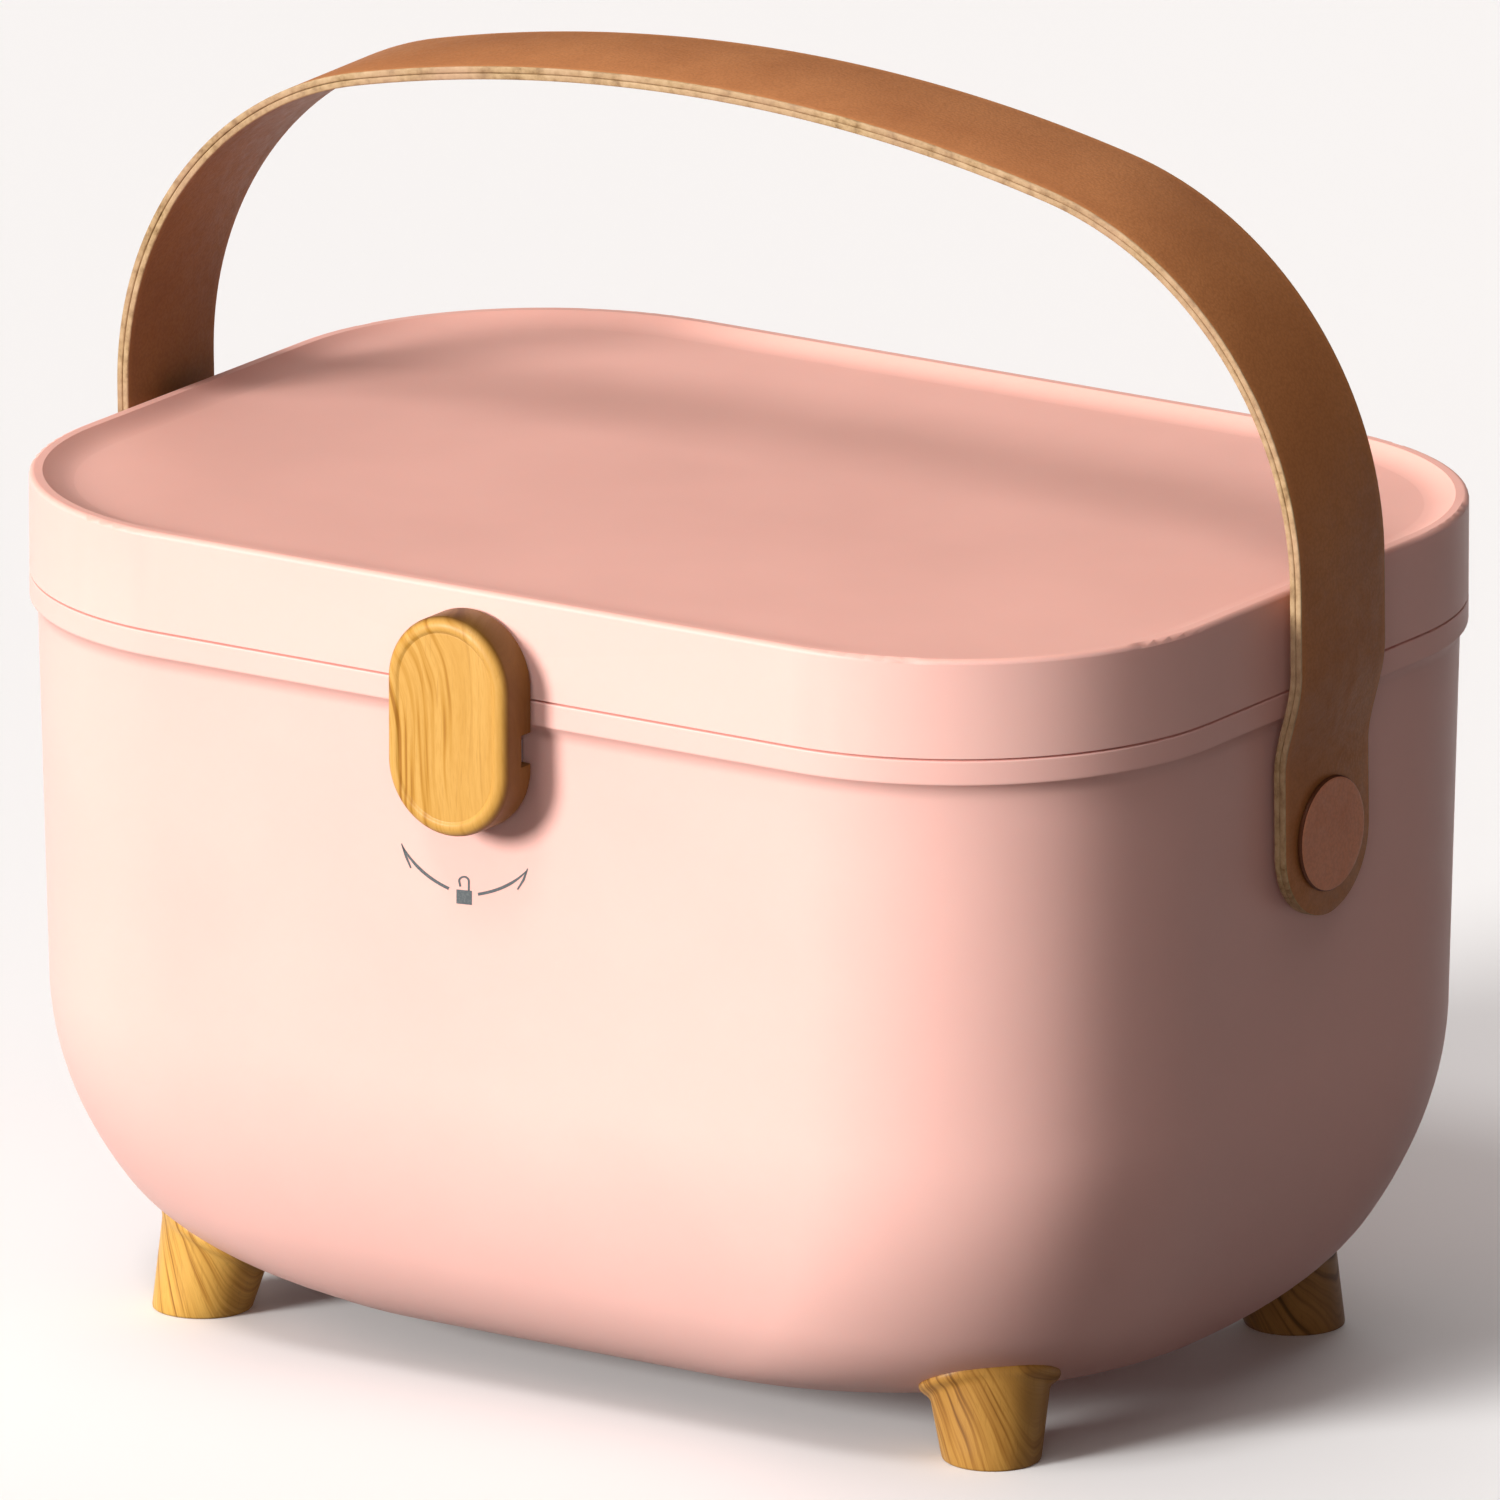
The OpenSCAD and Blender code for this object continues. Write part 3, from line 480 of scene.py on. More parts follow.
# How fast the corners open out as the arcs draw in
FULLNESS = 0.485
FOOT_OF_WALL = CORNER - SETBACK - WALL_LEAN
LOWER_RADIUS = UPPER_RADIUS - (UPPER_RADIUS + FLAT_CORNER - FOOT_OF_WALL) / math.cos(UPPER_ANGLE)
LOWER_HEIGHT = UNDERSIDE + LOWER_RADIUS
CURVE_HEIGHT = LOWER_HEIGHT + (UPPER_RADIUS - LOWER_RADIUS) * math.sin(UPPER_ANGLE)
CORNER_STEPS, LONG_STEPS, SHORT_STEPS = 28, 16, 10
WALL_STEPS, UPPER_STEPS, LOWER_STEPS = 12, 14, 22
# The roundest that a corner gets, as a share of half the depth
MOST_ROUND = 0.999

# The rim's insets and heights, from the inside of the lip over its top to the rim's lower edge
RIM = (
    (0.0044, 0.165), (0.0044, 0.169), (0.0044, 0.1732), (0.00432, 0.17342), (0.0041, LIP_TOP),
    (0.0032, LIP_TOP), (0.00298, 0.17342), (0.0029, 0.1732), (0.0029, 0.1710), (0.0029, 0.17052),
    (0.00285, TUB_TOP), (0.0004, TUB_TOP), (0.0001, 0.17042), (0.0, 0.1702),
    (0.0, 0.1700), (0.0, 0.168), (0.0, 0.1656), (0.0, 0.1653),
    (0.00004, 0.16502), (0.00015, 0.1649), (0.0003, RIM_BOTTOM),
)
COVE_ANGLES = [math.radians(t) for t in (47, 40, 32, 24, 16, 8)]
LIP_NOTCH = ((-0.0065, -0.1094, TUB_TOP), (0.0065, -0.1010, 0.176))


def plan_ring(inset, radius, z):
    """One level ring round the box: a rounded rectangle, drawn in by an inset."""
    a, b = HALF_LENGTH - inset, HALF_DEPTH - inset
    radius = min(radius, MOST_ROUND * b)
    corners = ((1, 1, LONG_STEPS), (-1, 1, SHORT_STEPS), (-1, -1, LONG_STEPS), (1, -1, SHORT_STEPS))
    ring = []
    for turn, (sx, sy, steps) in enumerate(corners):
        cx, cy = sx * (a - radius), sy * (b - radius)
        for k in range(CORNER_STEPS + 1):
            t = math.pi / 2 * (turn + k / CORNER_STEPS)
            ring.append(Vector((cx + radius * math.cos(t), cy + radius * math.sin(t), z)))
        start = ring[-1]
        end = Vector((-cx, sy * b, z) if turn % 2 == 0 else (sx * a, -cy, z))
        ring += [start.lerp(end, k / steps) for k in range(1, steps)]
    return ring


def corner_radius(inset):
    """The corners open out below the straight wall, so that the foot of the tub is a soft bowl."""
    wall = SETBACK + WALL_LEAN
    return CORNER - min(inset, wall) + FULLNESS * max(inset - wall, 0)


def wall_rows(depth):
    """Rings down the wall and round its foot, a given depth inside the outer skin."""
    rows = []
    for k in range(WALL_STEPS + 1):
        share = k / WALL_STEPS
        inset = SETBACK + WALL_LEAN * share
        height = WALL_TOP + (CURVE_HEIGHT - WALL_TOP) * share
        rows.append((inset + depth, corner_radius(inset) - depth, height))
    arcs = ((FOOT_OF_WALL - UPPER_RADIUS, UPPER_RADIUS, CURVE_HEIGHT, 0.0, UPPER_ANGLE, UPPER_STEPS),
            (FLAT_CORNER, LOWER_RADIUS, LOWER_HEIGHT, UPPER_ANGLE, math.pi / 2, LOWER_STEPS))
    for centre, radius, height, start, end, steps in arcs:
        for k in range(1, steps + 1):
            angle = start + (end - start) * k / steps
            inset = CORNER - (centre + radius * math.cos(angle))
            inward = depth * math.cos(angle)
            rows.append((inset + inward, corner_radius(inset) - inward,
                         height - (radius - depth) * math.sin(angle)))
    return rows


cove = [(SETBACK - COVE_RADIUS * (1 - math.cos(a)), WALL_TOP + COVE_RADIUS * math.sin(a))
        for a in COVE_ANGLES]
rows = wall_rows(WALL)[::-1]
rows += [(inset, CORNER - inset, z) for inset, z in (*RIM, *cove)]
rows += wall_rows(0.0)
points = [point for row in rows for point in plan_ring(*row)]
faces = tube_faces(len(rows), len(points) // len(rows))
tub = piece("tub_shell", points, faces, [tub_plastic], "box", ("tub",), sharp=38)


# Details of the tub: the tray's ribs, the loose divider's guides, the pivots' bosses and the hinge knuckles

RIB_BOTTOM, RIB_TOP, RIB_WIDTH, RIB_DEPTH = 0.09039, 0.1502, 0.003, 0.006
RIB_LEFT_FACES = (-0.062, -0.003)
GUIDE_TOP, GUIDE_WIDTH, GUIDE_DEPTH = 0.140, 0.0016, 0.0042
GUIDE_LEFT_FACES = (0.0692, 0.0732)
CAVITY_FACE = 0.1056
BOSS_FACE = 0.14825
BOSS_SECTION = ((-0.0030, 0.012), (-0.0004, 0.012), (-0.0001, 0.01188), (0.0, 0.0116))
BOSS_STEPS = 64
HINGE_X, HINGE_Y, HINGE_Z = 0.055, 0.1145, 0.17075
HINGE_HALF_WIDTH = 0.018
KNUCKLE, KNUCKLE_HALF_WIDTH, KNUCKLE_STEPS = 0.0045, 0.0045, 27
KNUCKLE_EASE, KNUCKLE_SHRINK = 0.00025, 0.95
WEB_GAP, WEB_ROOT = 0.0003, 0.001

details = Form()


def wall_blocks(left_faces, width, depth, top):
    """Upright blocks on the inside of the front and the rear wall."""
    for x in left_faces:
        for y in (-CAVITY_FACE, CAVITY_FACE - depth):
            details.block((x, y, RIB_BOTTOM), (x + width, y + depth, top))


wall_blocks(RIB_LEFT_FACES, RIB_WIDTH, RIB_DEPTH, RIB_TOP)
wall_blocks(GUIDE_LEFT_FACES, GUIDE_WIDTH, GUIDE_DEPTH, GUIDE_TOP)

for side in (-1, 1):
    details.tube([pivot_ring(side * (BOSS_FACE + reach), radius, BOSS_STEPS)
                  for reach, radius in BOSS_SECTION])

# The outline of a knuckle and of its web to the rim, measured from the hinge's axis
web_end = HALF_DEPTH - WEB_ROOT - HINGE_Y
outline = arc((0, 0), KNUCKLE, -90, 180, KNUCKLE_STEPS)
outline += [(-KNUCKLE, -WEB_GAP), (web_end, -WEB_GAP), (web_end, -KNUCKLE)]
flat = KNUCKLE_HALF_WIDTH - KNUCKLE_EASE
for side in (-1, 1):
    for end in (-1, 1):
        centre = HINGE_X * side + (HINGE_HALF_WIDTH - KNUCKLE_HALF_WIDTH) * end
        rings = []
        for reach, shrink in ((-KNUCKLE_HALF_WIDTH, KNUCKLE_SHRINK), (-flat, 1), (flat, 1),
                              (KNUCKLE_HALF_WIDTH, KNUCKLE_SHRINK)):
            rings.append([Vector((centre + reach, HINGE_Y + y * shrink, HINGE_Z + z * shrink))
                          for y, z in outline])
        details.tube(rings)


# Carrying strap

LAYER = 0.0015
STRAP_GAP, ARCH_RISE, LEG_RISE = 0.0046, 0.0955, 0.0026
SHOULDER = 0.0845 - 2 * LAYER
BEND_TOP, BEND_BOTTOM, BEND_EASE = BOX_HEIGHT - 0.0205, BOX_HEIGHT - 0.0365, 0.004
SLIP_GAP, TAB_REACH = 0.0001, 0.0186
TAB_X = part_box("pivot_spacers")[1].x + SLIP_GAP
ROUND_END = PIVOT_HEIGHT - TAB_REACH + STRAP_WIDTH / 2
CUT_EASE, CUT_STEPS = 0.00038, 3
LAYER_SEAM = 0.00004
CURVE_STEPS, LEG_STEPS, JOG_STEPS, TAB_STEPS, TIP_STEPS = 40, 5, 16, 12, 24


def strap_path():
    """Half of the strap's inner face, from the crown down to the tab's tip: points (x, z)."""
    leg_x, leg_z = HALF_LENGTH + STRAP_GAP, BOX_HEIGHT + LEG_RISE
    shoulder_x = leg_x - SHOULDER
    crown_z = BOX_HEIGHT + ARCH_RISE - 2 * LAYER
    angle = 90 - 2 * math.degrees(math.atan((crown_z - leg_z - SHOULDER) / shoulder_x))
    crown = SHOULDER + shoulder_x / math.cos(math.radians(angle))
    points = arc((0.0, crown_z - crown), crown, 90, angle, CURVE_STEPS)[:-1]
    points += arc((shoulder_x, leg_z), SHOULDER, angle, 0, CURVE_STEPS)[:-1]
    high, low = BEND_TOP + BEND_EASE, BEND_BOTTOM - BEND_EASE
    points += [(leg_x, leg_z + (high - leg_z) * k / LEG_STEPS) for k in range(LEG_STEPS + 1)]
    # an eased jog inwards, in place of the solid's straight slant
    for k in range(1, JOG_STEPS):
        t = k / JOG_STEPS
        ease = t * t * (3 - 2 * t)
        points.append((leg_x + (TAB_X - leg_x) * ease, high + (low - high) * t))
    points += [(TAB_X, low + (ROUND_END - low) * k / TAB_STEPS) for k in range(TAB_STEPS + 1)]
    # the round end stops just short of its tip, where the width would reach nothing
    for k in range(1, TIP_STEPS + 1):
        points.append((TAB_X, ROUND_END - STRAP_WIDTH / 2 * math.sin(math.pi / 2 * k / (TIP_STEPS + 0.3))))
    return points


half = strap_path()
line = [(-x, z) for x, z in reversed(half)] + half[1:]
lean_turn = (Matrix.Translation((0, 0, PIVOT_HEIGHT)) @ Matrix.Rotation(STRAP_LEAN, 4, "X")
             @ Matrix.Translation((0, 0, -PIVOT_HEIGHT)))


def layer_section(thickness):
    """A layer's cross section: for each point its side, its inset from that side and its depth."""
    eased = [(CUT_EASE - CUT_EASE * math.cos(a), CUT_EASE - CUT_EASE * math.sin(a))
             for a in (math.pi / 2 * (1 - k / CUT_STEPS) for k in range(CUT_STEPS + 1))]
    section = [(1, inset, thickness - ease) for inset, ease in eased]
    section += [(1, inset, ease) for inset, ease in reversed(eased)]
    section += [(-1, inset, ease) for inset, ease in eased]
    section += [(-1, inset, thickness - ease) for inset, ease in reversed(eased)]
    return section


def strap_layer(name, start, end, face_material, node):
    """One leather layer with rounded cut edges, swept along the arch. start and end are its two depths."""
    section = layer_section(end - start)
    size = len(section)
    points = []
    for k, (x, z) in enumerate(line):
        x0, z0 = line[max(k - 1, 0)]
        x1, z1 = line[min(k + 1, len(line) - 1)]
        heading = Vector((x1 - x0, z1 - z0)).normalized()
        out = Vector((-heading.y, heading.x))
        half_width = STRAP_WIDTH / 2
        if z < ROUND_END:
            half_width = math.sqrt(max(half_width ** 2 - (ROUND_END - z) ** 2, 0.0))
        for side, inset, depth in section:
            place = Vector((x, z)) + out * (start + depth)
            points.append(lean_turn @ Vector((place.x, side * max(half_width - inset, 0.0), place.y)))
    # the two flat faces take the first material, and all else the second
    flat_faces = (size // 2 - 1, size - 1)
    indices = [0 if i in flat_faces else 1 for _ in line[1:] for i in range(size)] + [1, 1]
    piece(name, points, tube_faces(len(line), size), [face_material, raw_edge], "handle", (node,),
          sharp=50, indices=indices)


strap_layer("strap_leather_outer", LAYER, 2 * LAYER, leather, "strap_outer")
strap_layer("strap_leather_inner", 0.0, LAYER - LAYER_SEAM, lining, "strap_inner")


# Pivot caps

CAP_RADIUS, CAP_HEIGHT, SOLID_CAP_HEIGHT = 0.013, 0.0013, 0.002
CAP_HOLLOW_RADIUS, CAP_HOLLOW_HEIGHT = 0.0082, 0.0008
CAP_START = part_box("pivot_caps")[1].x - SOLID_CAP_HEIGHT
CAP_STEPS = 96


def cap(name, side):
    """A thin leather disc whose edge is painted dark brown: painted shadow round its rim."""
    r, h = CAP_RADIUS, CAP_HEIGHT
    edge = [(CAP_HOLLOW_RADIUS, 0.0), (r - 0.0004, 0.0), (r - 0.0001, 0.0002), (r, 0.0005),
            (r - 0.0001, h - 0.0003)]
    face = [(r - 0.0003, h - 0.0001), (r - 0.0007, h - 0.00002), (r - 0.0012, h), (0.004, h), (0.0, h)]
    hollow = [(0.0, CAP_HOLLOW_HEIGHT), (CAP_HOLLOW_RADIUS, CAP_HOLLOW_HEIGHT)]
    section = edge + face + hollow
    points = []
    for radius, height in section:
        points += pivot_ring(side * (CAP_START + height), radius, CAP_STEPS)
    faces = rings_to_faces(len(section), CAP_STEPS, close=True)
    # the edge rings take the second material, the painted shadow
    indices = [1 if k < len(edge) else 0 for k in range(len(section)) for _ in range(CAP_STEPS)]
    return piece(name, points, faces, [cap_leather, cap_rim_painted_shadow], "box", (),
                 sharp=60, indices=indices)


right_cap = cap("pivot_cap_right", 1)
cap("pivot_cap_left", -1)
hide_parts("pivot_caps")


# Latch knob: its wooden frame slopes down to a face plate, whose rim runs under the slope

low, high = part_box("latch_knob")
KNOB_RADIUS = (high.x - low.x) / 2
KNOB_REACH = (high.z - low.z) - 2 * KNOB_RADIUS
KNOB_MIDDLE = (high.z + low.z) / 2
KNOB_TOP, KNOB_BACK = high.z, high.y
KNOB_DEPTH = high.y - low.y
low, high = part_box("latch_face")
FACE_RADIUS = (high.x - low.x) / 2
FACE_TOP = KNOB_BACK - low.y
BACK_EASE, FRONT_EASE = 0.0010, 0.0024
FRAME_WIDTH, SLOPE_STEPS = 0.0026, 7
SLOPE_OVERLAP, SLOPE_SINK, PLATE_OVERLAP = 0.0001, 0.00005, 0.0003
POCKET_DEPTH, PLATE_DEPTH = 0.0006, 0.0005
CENTRE_RADIUS = 0.0002
KNOB_EDGE = 0.0003
ROUND_END_STEPS = 48
NOTCH_DROP, NOTCH_HEIGHT, NOTCH_WIDTH, NOTCH_DEPTH = 0.0259, 0.0072, 0.0032, 0.0042
OVERRUN = 0.001


def stadium(radius):
    """Outline of a long round-ended plate of the knob's reach: points (x, z)."""
    upper, lower = KNOB_MIDDLE + KNOB_REACH / 2, KNOB_MIDDLE - KNOB_REACH / 2
    return (arc((0, upper), radius, 0, 180, ROUND_END_STEPS)
            + arc((0, lower), radius, 180, 360, ROUND_END_STEPS))


def round_ended(name, section, node):
    """Sweeps (radius, height) points round the stadium. Heights grow from the knob's back towards -Y."""
    points = [(x, KNOB_BACK - height, z) for radius, height in section for x, z in stadium(radius)]
    faces = tube_faces(len(section), len(points) // len(section))
    return piece(name, points, faces, [knob_wood], "latch", (node,), sharp=50)


section = [(CENTRE_RADIUS, 0.0), (KNOB_RADIUS - BACK_EASE, 0.0)]
section += arc((KNOB_RADIUS - BACK_EASE, BACK_EASE), BACK_EASE, -75, 0, 4)
section += arc((KNOB_RADIUS - FRONT_EASE, KNOB_DEPTH - FRONT_EASE), FRONT_EASE, 0, 86, 10)
slope_start, slope_end = KNOB_RADIUS - FRAME_WIDTH, FACE_RADIUS - SLOPE_OVERLAP
slope_drop = KNOB_DEPTH - FACE_TOP + SLOPE_SINK
for k in range(1, SLOPE_STEPS + 1):
    t = k / SLOPE_STEPS
    section.append((slope_start + (slope_end - slope_start) * t,
                    KNOB_DEPTH - slope_drop * (1 - math.cos(math.pi * t)) / 2))
section += [(slope_end, FACE_TOP - POCKET_DEPTH), (CENTRE_RADIUS, FACE_TOP - POCKET_DEPTH)]
knob = round_ended("latch_knob_wood", section, "latch_knob")

rim = FACE_RADIUS + PLATE_OVERLAP
section = [(CENTRE_RADIUS, FACE_TOP - PLATE_DEPTH), (rim, FACE_TOP - PLATE_DEPTH), (rim, FACE_TOP - 0.00008),
           (rim - 0.0001, FACE_TOP - 0.00002), (rim - 0.0004, FACE_TOP), (CENTRE_RADIUS, FACE_TOP)]
round_ended("latch_face_wood", section, "latch_face")


def cutter(low, high):
    """A plain box to cut a notch with."""
    mesh = bpy.data.meshes.new("notch")
    corners = [(x, y, z) for x in (low[0], high[0]) for y in (low[1], high[1]) for z in (low[2], high[2])]
    sides = [(0, 1, 3, 2), (4, 6, 7, 5), (0, 4, 5, 1), (2, 3, 7, 6), (0, 2, 6, 4), (1, 5, 7, 3)]
    mesh.from_pydata(corners, [], sides)
    return add_object("notch", mesh)


def carve(target, tools):
    """Subtracts the tools and keeps the result as a plain mesh."""
    for tool in tools:
        modifier = target.modifiers.new("cut", "BOOLEAN")
        modifier.operation = "DIFFERENCE"
        modifier.solver = "EXACT"
        modifier.object = tool
    graph = bpy.context.evaluated_depsgraph_get()
    mesh = bpy.data.meshes.new_from_object(target.evaluated_get(graph))
    target.modifiers.clear()
    target.data = mesh
    for tool in tools:
        bpy.data.objects.remove(tool)


notch_top = KNOB_TOP - NOTCH_DROP
notches = []
for side in (-1, 1):
    x0, x1 = sorted((side * (KNOB_RADIUS - NOTCH_WIDTH), side * (KNOB_RADIUS + OVERRUN)))
    notches.append(cutter((x0, KNOB_BACK - NOTCH_DEPTH, notch_top - NOTCH_HEIGHT),
                          (x1, KNOB_BACK + OVERRUN, notch_top)))
carve(knob, notches)
soften(knob, KNOB_EDGE, segments=2, angle=50)
carve(tub, [cutter(*LIP_NOTCH)])


# Printed mark: two turning arrows and a padlock, placed by pixels of the photograph

LEFT_ARC = ((402.5, 846), (418, 874), (449, 888.5))
RIGHT_ARC = ((478, 894.2), (509, 889.5), (526.5, 871))
ARC_STEPS, ARC_THIN, ARC_SWELL = 14, 1.2, 1.9
LEFT_HEAD = ((401.6, 843.5), (406, 856), (411, 868))
RIGHT_HEAD = ((527.7, 868.5), (523.5, 880), (517.6, 889.5))
HEAD_WIDTHS = (1.2, 2.4, 1.6)
LOCK_BODY = ((456.5, 889.2), (472, 890.8), (472, 905), (456.5, 903.4))
SHACKLE_LEFT, SHACKLE_RIGHT = ((460.5, 886.5), (459.2, 881)), ((468.9, 886), (468.9, 891))
SHACKLE_CENTRE, SHACKLE_SIZE, SHACKLE_WIDTH = (464, 881.3), (4.9, 4.6), 2.0
INK_HEIGHT = 0.00006


def project(px, py):
    """The point of the tub's front wall that the photograph shows at a pixel."""
    middle = PHOTO_SIZE / 2
    x_view = (px - middle) / PHOTO_SIZE * SENSOR / LENS
    z_view = (middle - py) / PHOTO_SIZE * SENSOR / LENS
    direction = -back + right * x_view + up * z_view
    normal = Vector((0, -1, -WALL_LEAN / (WALL_TOP - CURVE_HEIGHT))).normalized()
    anchor = Vector((0, -(HALF_DEPTH - SETBACK), WALL_TOP))
    t = (anchor - camera_place).dot(normal) / direction.dot(normal)
    return camera_place + direction * t + normal * INK_HEIGHT


def band(pixels, widths):
    """Quads along a line of the photograph's pixels, with a width in pixels at each point."""
    left, right_side = [], []
    for k, (x, y) in enumerate(pixels):
        x0, y0 = pixels[max(k - 1, 0)]
        x1, y1 = pixels[min(k + 1, len(pixels) - 1)]
        d = Vector((x1 - x0, y1 - y0)).normalized() * (widths[k] / 2)
        left.append((x - d.y, y + d.x))
        right_side.append((x + d.y, y - d.x))
    return [[left[k], left[k + 1], right_side[k + 1], right_side[k]] for k in range(len(pixels) - 1)]


def bezier(a, b, c):
    """Points of a curve from a to c that b pulls to its side."""
    points = []
    for k in range(ARC_STEPS + 1):
        t = k / ARC_STEPS
        shares = ((1 - t) ** 2, 2 * t * (1 - t), t * t)
        points.append(tuple(sum(share * p[i] for share, p in zip(shares, (a, b, c))) for i in (0, 1)))
    return points


# An arrow's line starts thin at its head and has its full width before its middle
arc_widths = [ARC_THIN + ARC_SWELL * min(1, 2.5 * k / ARC_STEPS) for k in range(ARC_STEPS + 1)]
shackle = list(SHACKLE_LEFT)
for a in (math.radians(t) for t in range(15, 181, 15)):
    shackle.append((SHACKLE_CENTRE[0] - SHACKLE_SIZE[0] * math.cos(a),
                    SHACKLE_CENTRE[1] - SHACKLE_SIZE[1] * math.sin(a)))
shackle += SHACKLE_RIGHT
shapes = band(bezier(*LEFT_ARC), arc_widths) + band(LEFT_HEAD, HEAD_WIDTHS)
shapes += band(bezier(*RIGHT_ARC), arc_widths[::-1]) + band(RIGHT_HEAD, HEAD_WIDTHS)
shapes += [LOCK_BODY] + band(shackle, [SHACKLE_WIDTH] * len(shackle))
points, faces = [], []
for loop in shapes:
    faces.append(tuple(range(len(points), len(points) + len(loop))))
    points += [project(*p) for p in loop]
piece("turn_mark", points, faces, [print_ink], "box", ())


# Pegs, and the bosses inside the tub that their screws go through

FOOT_X, FOOT_Y = 0.1057, 0.0622
SPLAY = math.radians(10)
FOOT_RADIUS, PEG_TOP_RADIUS, PEG_LENGTH = 0.0110, 0.0142, 0.020
OUTWARD_TAPER_LOSS, LEAST_FLARE = 0.7, 0.15
PEG_STEPS = 72
# How far below the tub each ring of the flare lies, and how far it spreads
FLARE = ((0.0034, 0.0), (0.0027, 0.0002), (0.0021, 0.0007), (0.0016, 0.0014),
         (0.0010, 0.0019), (0.0003, 0.0021), (-0.0007, 0.0018), (-0.0016, 0.0004))
# How far above the floor each ring of the foot's eased edge lies, and how far it spreads
FOOT_EDGE = ((0.0, -0.0011), (0.0, -0.0004), (0.0002, -0.00012), (0.0006, 0.0))
FOOT_BOSS_STEPS = 40
FOOT_BOSS_RADIUS, FOOT_BOSS_SEAT, FOOT_BOSS_ROOT = 0.0065, 0.0190, 0.001
LONGEST_PEG, FAR_BELOW = 0.05, 0.05
HALVINGS, FLOOR_STEPS = 26, 12

tub_tree = BVHTree.FromPolygons([v.co for v in tub.data.vertices], [f.vertices[:] for f in tub.data.polygons])


def peg_axes(sx, sy):
    """The middle of a peg's foot, the way the peg points, and two directions square to it."""
    heading = Vector((sx, sy, 0)).normalized()
    axis = (Vector((0, 0, math.cos(SPLAY))) - heading * math.sin(SPLAY)).normalized()
    side = axis.cross(heading).normalized()
    front = side.cross(axis).normalized()
    return Vector((FOOT_X * sx, FOOT_Y * sy, 0.0)), axis, side, front


def length_to_tub(at, low, high, sunk=0.0):
    """The length at which a line gets to the tub's skin, or a given depth into it. at gives its points."""
    for _ in range(HALVINGS):
        middle = (low + high) / 2
        point = at(middle)
        hit = tub_tree.ray_cast(Vector((point.x, point.y, -FAR_BELOW)), Vector((0, 0, 1)))[0]
        if hit is not None and point.z < hit.z + sunk:
            low = middle
        else:
            high = middle
    return low


def peg(node, sx, sy):
    """A tapered wooden peg, cut flat on the floor and flared where it meets the tub."""
    foot, axis, side, front = peg_axes(sx, sy)
    rows = []
    for a in full_turn(PEG_STEPS):
        spoke = front * math.cos(a) + side * math.sin(a)
        # the taper is slight on the outward side, and the flare under the tub is mostly on the flanks
        kept = 1 - OUTWARD_TAPER_LOSS * max(math.cos(a), 0) ** 2
        taper = (PEG_TOP_RADIUS - FOOT_RADIUS) / PEG_LENGTH * kept
        flared = LEAST_FLARE + (1 - LEAST_FLARE) * math.sin(a) ** 2

        def at(length, spread=0.0):
            return foot + axis * length + spoke * (FOOT_RADIUS + taper * length + spread)

        floor_length = 0.0
        for _ in range(FLOOR_STEPS):
            floor_length -= at(floor_length).z / axis.z
        top = length_to_tub(at, floor_length, LONGEST_PEG)
        bottom = [at(floor_length + rise, spread) for rise, spread in FOOT_EDGE]
        for point, (rise, _) in zip(bottom, FOOT_EDGE):
            point.z = max(point.z, 0.0) if rise else 0.0
        shaft_top = top - FLARE[0][0]
        shaft = [at(floor_length + (shaft_top - floor_length) * share) for share in (0.25, 0.5, 0.75)]
        rows.append(bottom + shaft + [at(top - drop, spread * flared) for drop, spread in FLARE])
    points = [row[k] for k in range(len(rows[0])) for row in rows]
    faces = tube_faces(len(rows[0]), PEG_STEPS)
    piece(node + "_wood", points, faces, [NODES[node].data.materials[0]], "box", (node,), sharp=60)


def foot_boss(sx, sy):
    """A round boss on the tub's floor, with an eased upper edge, that a peg's screw seats on."""
    foot, axis, side, front = peg_axes(sx, sy)
    rings = [[], [], [], []]
    for a in full_turn(FOOT_BOSS_STEPS):
        spoke = front * math.cos(a) + side * math.sin(a)
        root = length_to_tub(lambda length: foot + axis * length + spoke * FOOT_BOSS_RADIUS,
                             0.0, FOOT_BOSS_SEAT, sunk=FOOT_BOSS_ROOT)
        section = ((min(root, FOOT_BOSS_SEAT - 0.0005), 0.0), (FOOT_BOSS_SEAT - 0.0004, 0.0),
                   (FOOT_BOSS_SEAT - 0.0001, 0.0002), (FOOT_BOSS_SEAT, 0.0005))
        for ring, (length, shrink) in zip(rings, section):
            ring.append(foot + axis * length + spoke * (FOOT_BOSS_RADIUS - shrink))
    details.tube(rings)


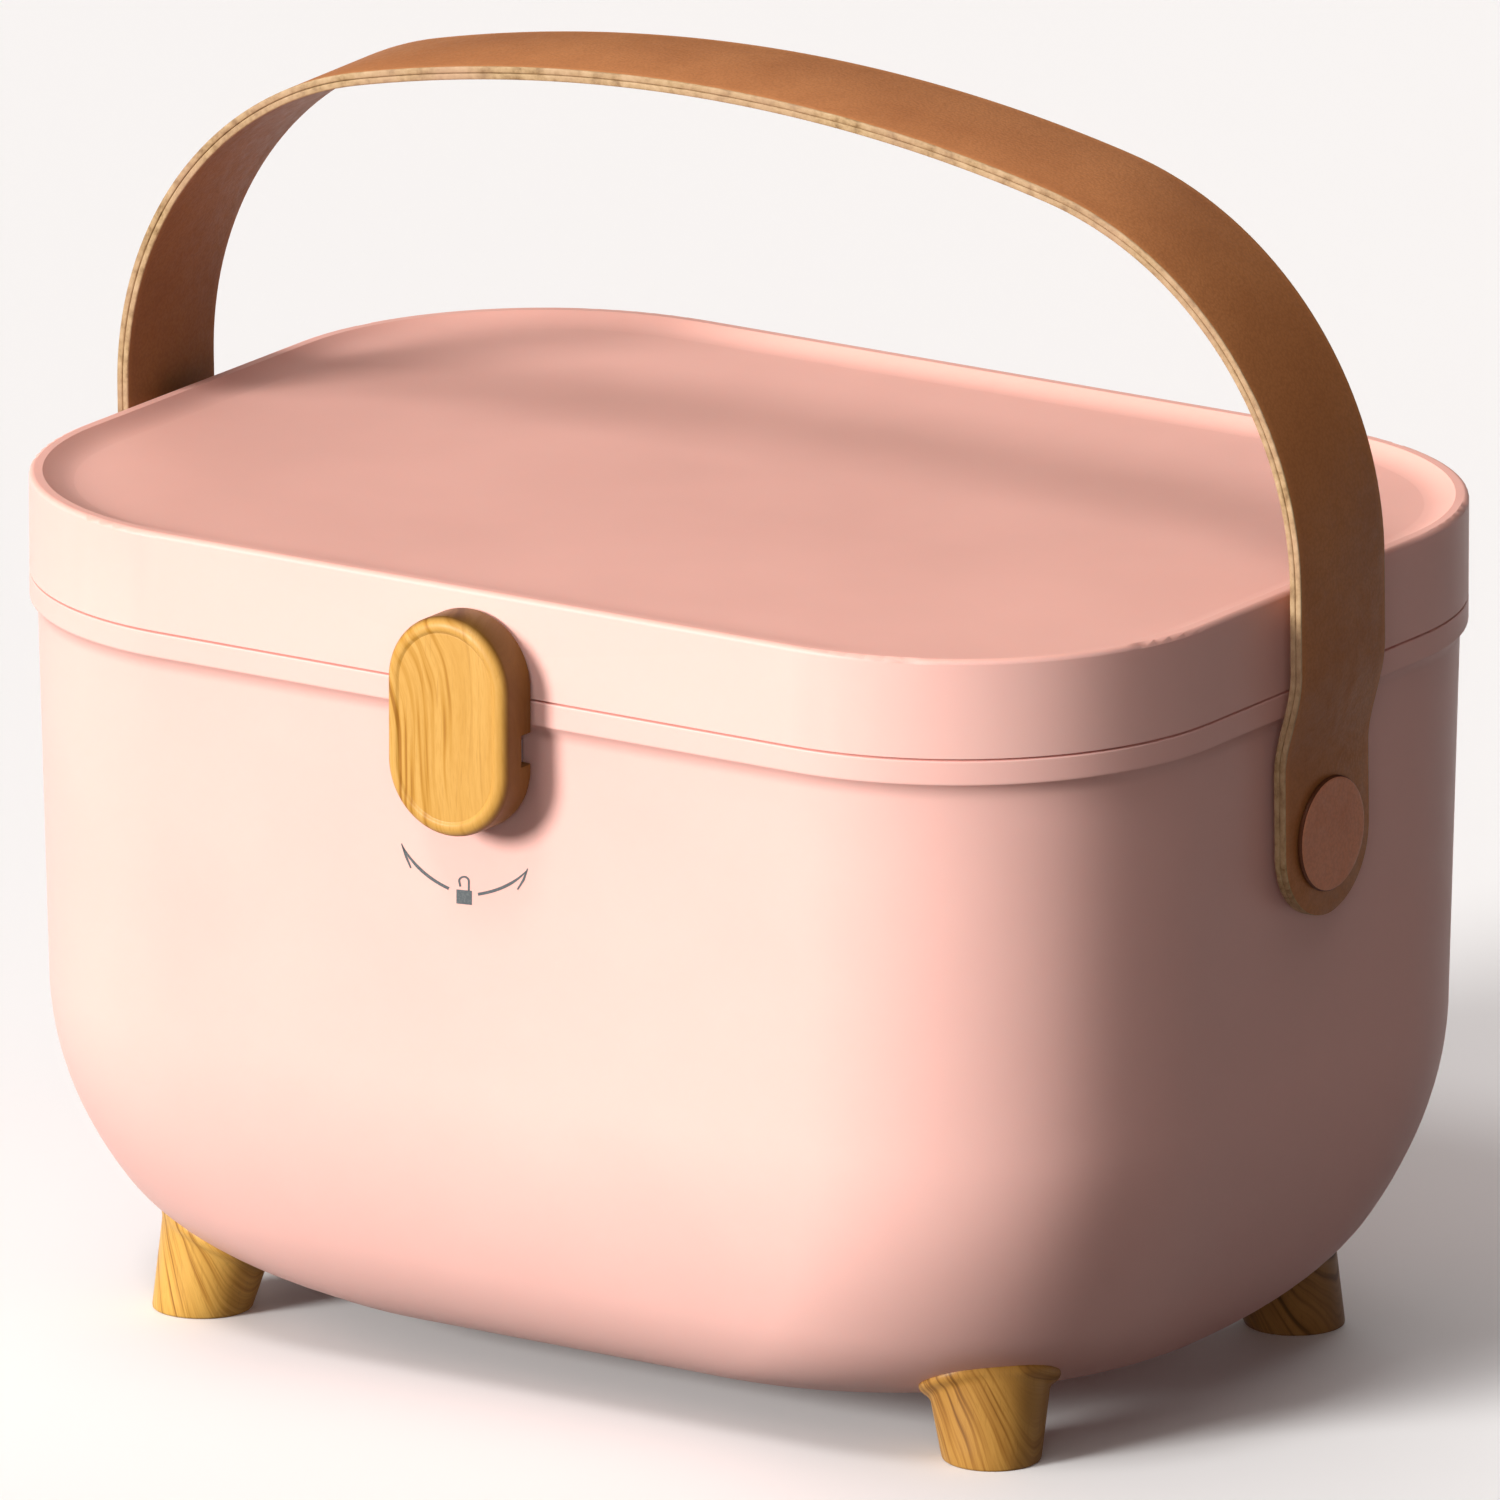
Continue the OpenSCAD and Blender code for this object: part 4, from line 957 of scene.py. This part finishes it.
for name, (sx, sy, _) in FEET.items():
    peg(name, sx, sy)
for sx, sy, _ in FEET.values():
    foot_boss(sx, sy)
piece("tub_details", details.points, details.faces, [tub_plastic], "box", (), sharp=50)


# Floor, light and camera

FLOOR_REACH = 6
floor_mesh = bpy.data.meshes.new("floor")
floor_corners = [(x * FLOOR_REACH, y * FLOOR_REACH, 0) for x, y in ((-1, -1), (1, -1), (1, 1), (-1, 1))]
floor_mesh.from_pydata(floor_corners, [], [(0, 1, 2, 3)])
floor = add_object("floor", floor_mesh)
ground = Shader("floor")
pale_floor = ground.mix(ground.noise(ground.coords(), 3), (0.93, 0.93, 0.93), (0.95, 0.95, 0.95))
ground.set(Base_Color=pale_floor, Roughness=0.7)
floor_mesh.materials.append(ground.material)
floor.visible_diffuse = False

world = bpy.data.worlds.new("world")
bpy.context.scene.world = world
world.use_nodes = True
background = world.node_tree.nodes["Background"]
background.inputs["Color"].default_value = (1.0, 0.70, 0.64, 1)
background.inputs["Strength"].default_value = 0.05


def sun(name, towards, strength, angle, colour=(1, 1, 1)):
    """A soft light from a direction, given as a vector that points to it."""
    data = bpy.data.lights.new(name, "SUN")
    data.energy = strength
    data.angle = math.radians(angle)
    data.color = colour
    obj = add_object(name, data)
    obj.rotation_mode = "QUATERNION"
    obj.rotation_quaternion = Vector(towards).to_track_quat("Z", "Y")
    return obj


sun("key", (-0.41, -0.88, 0.28), 4.02, 18, (1.0, 0.99, 0.97))
sun("high_front", (-0.05, -0.5, 0.87), 0.75, 14)
sun("overhead", (-0.3, -0.3, 1.0), 1.05, 105, (1.0, 0.93, 0.90))
sun("rear_fill", (-0.5, 0.85, 0.25), 1.1, 60).visible_glossy = False
sun("front_fill", (0.55, -0.80, 0.20), 0.42, 30).visible_glossy = False

camera_data = bpy.data.cameras.new("camera")
camera_data.lens = LENS
camera_data.sensor_width = SENSOR
camera_data.clip_end = 100
camera = add_object("camera", camera_data)
camera.rotation_mode = "QUATERNION"
camera.rotation_quaternion = (-back).to_track_quat("-Z", "Y")
camera.location = camera_place
bpy.context.scene.camera = camera

bpy.context.scene.view_settings.view_transform = "Standard"
bpy.context.scene.view_settings.look = "None"
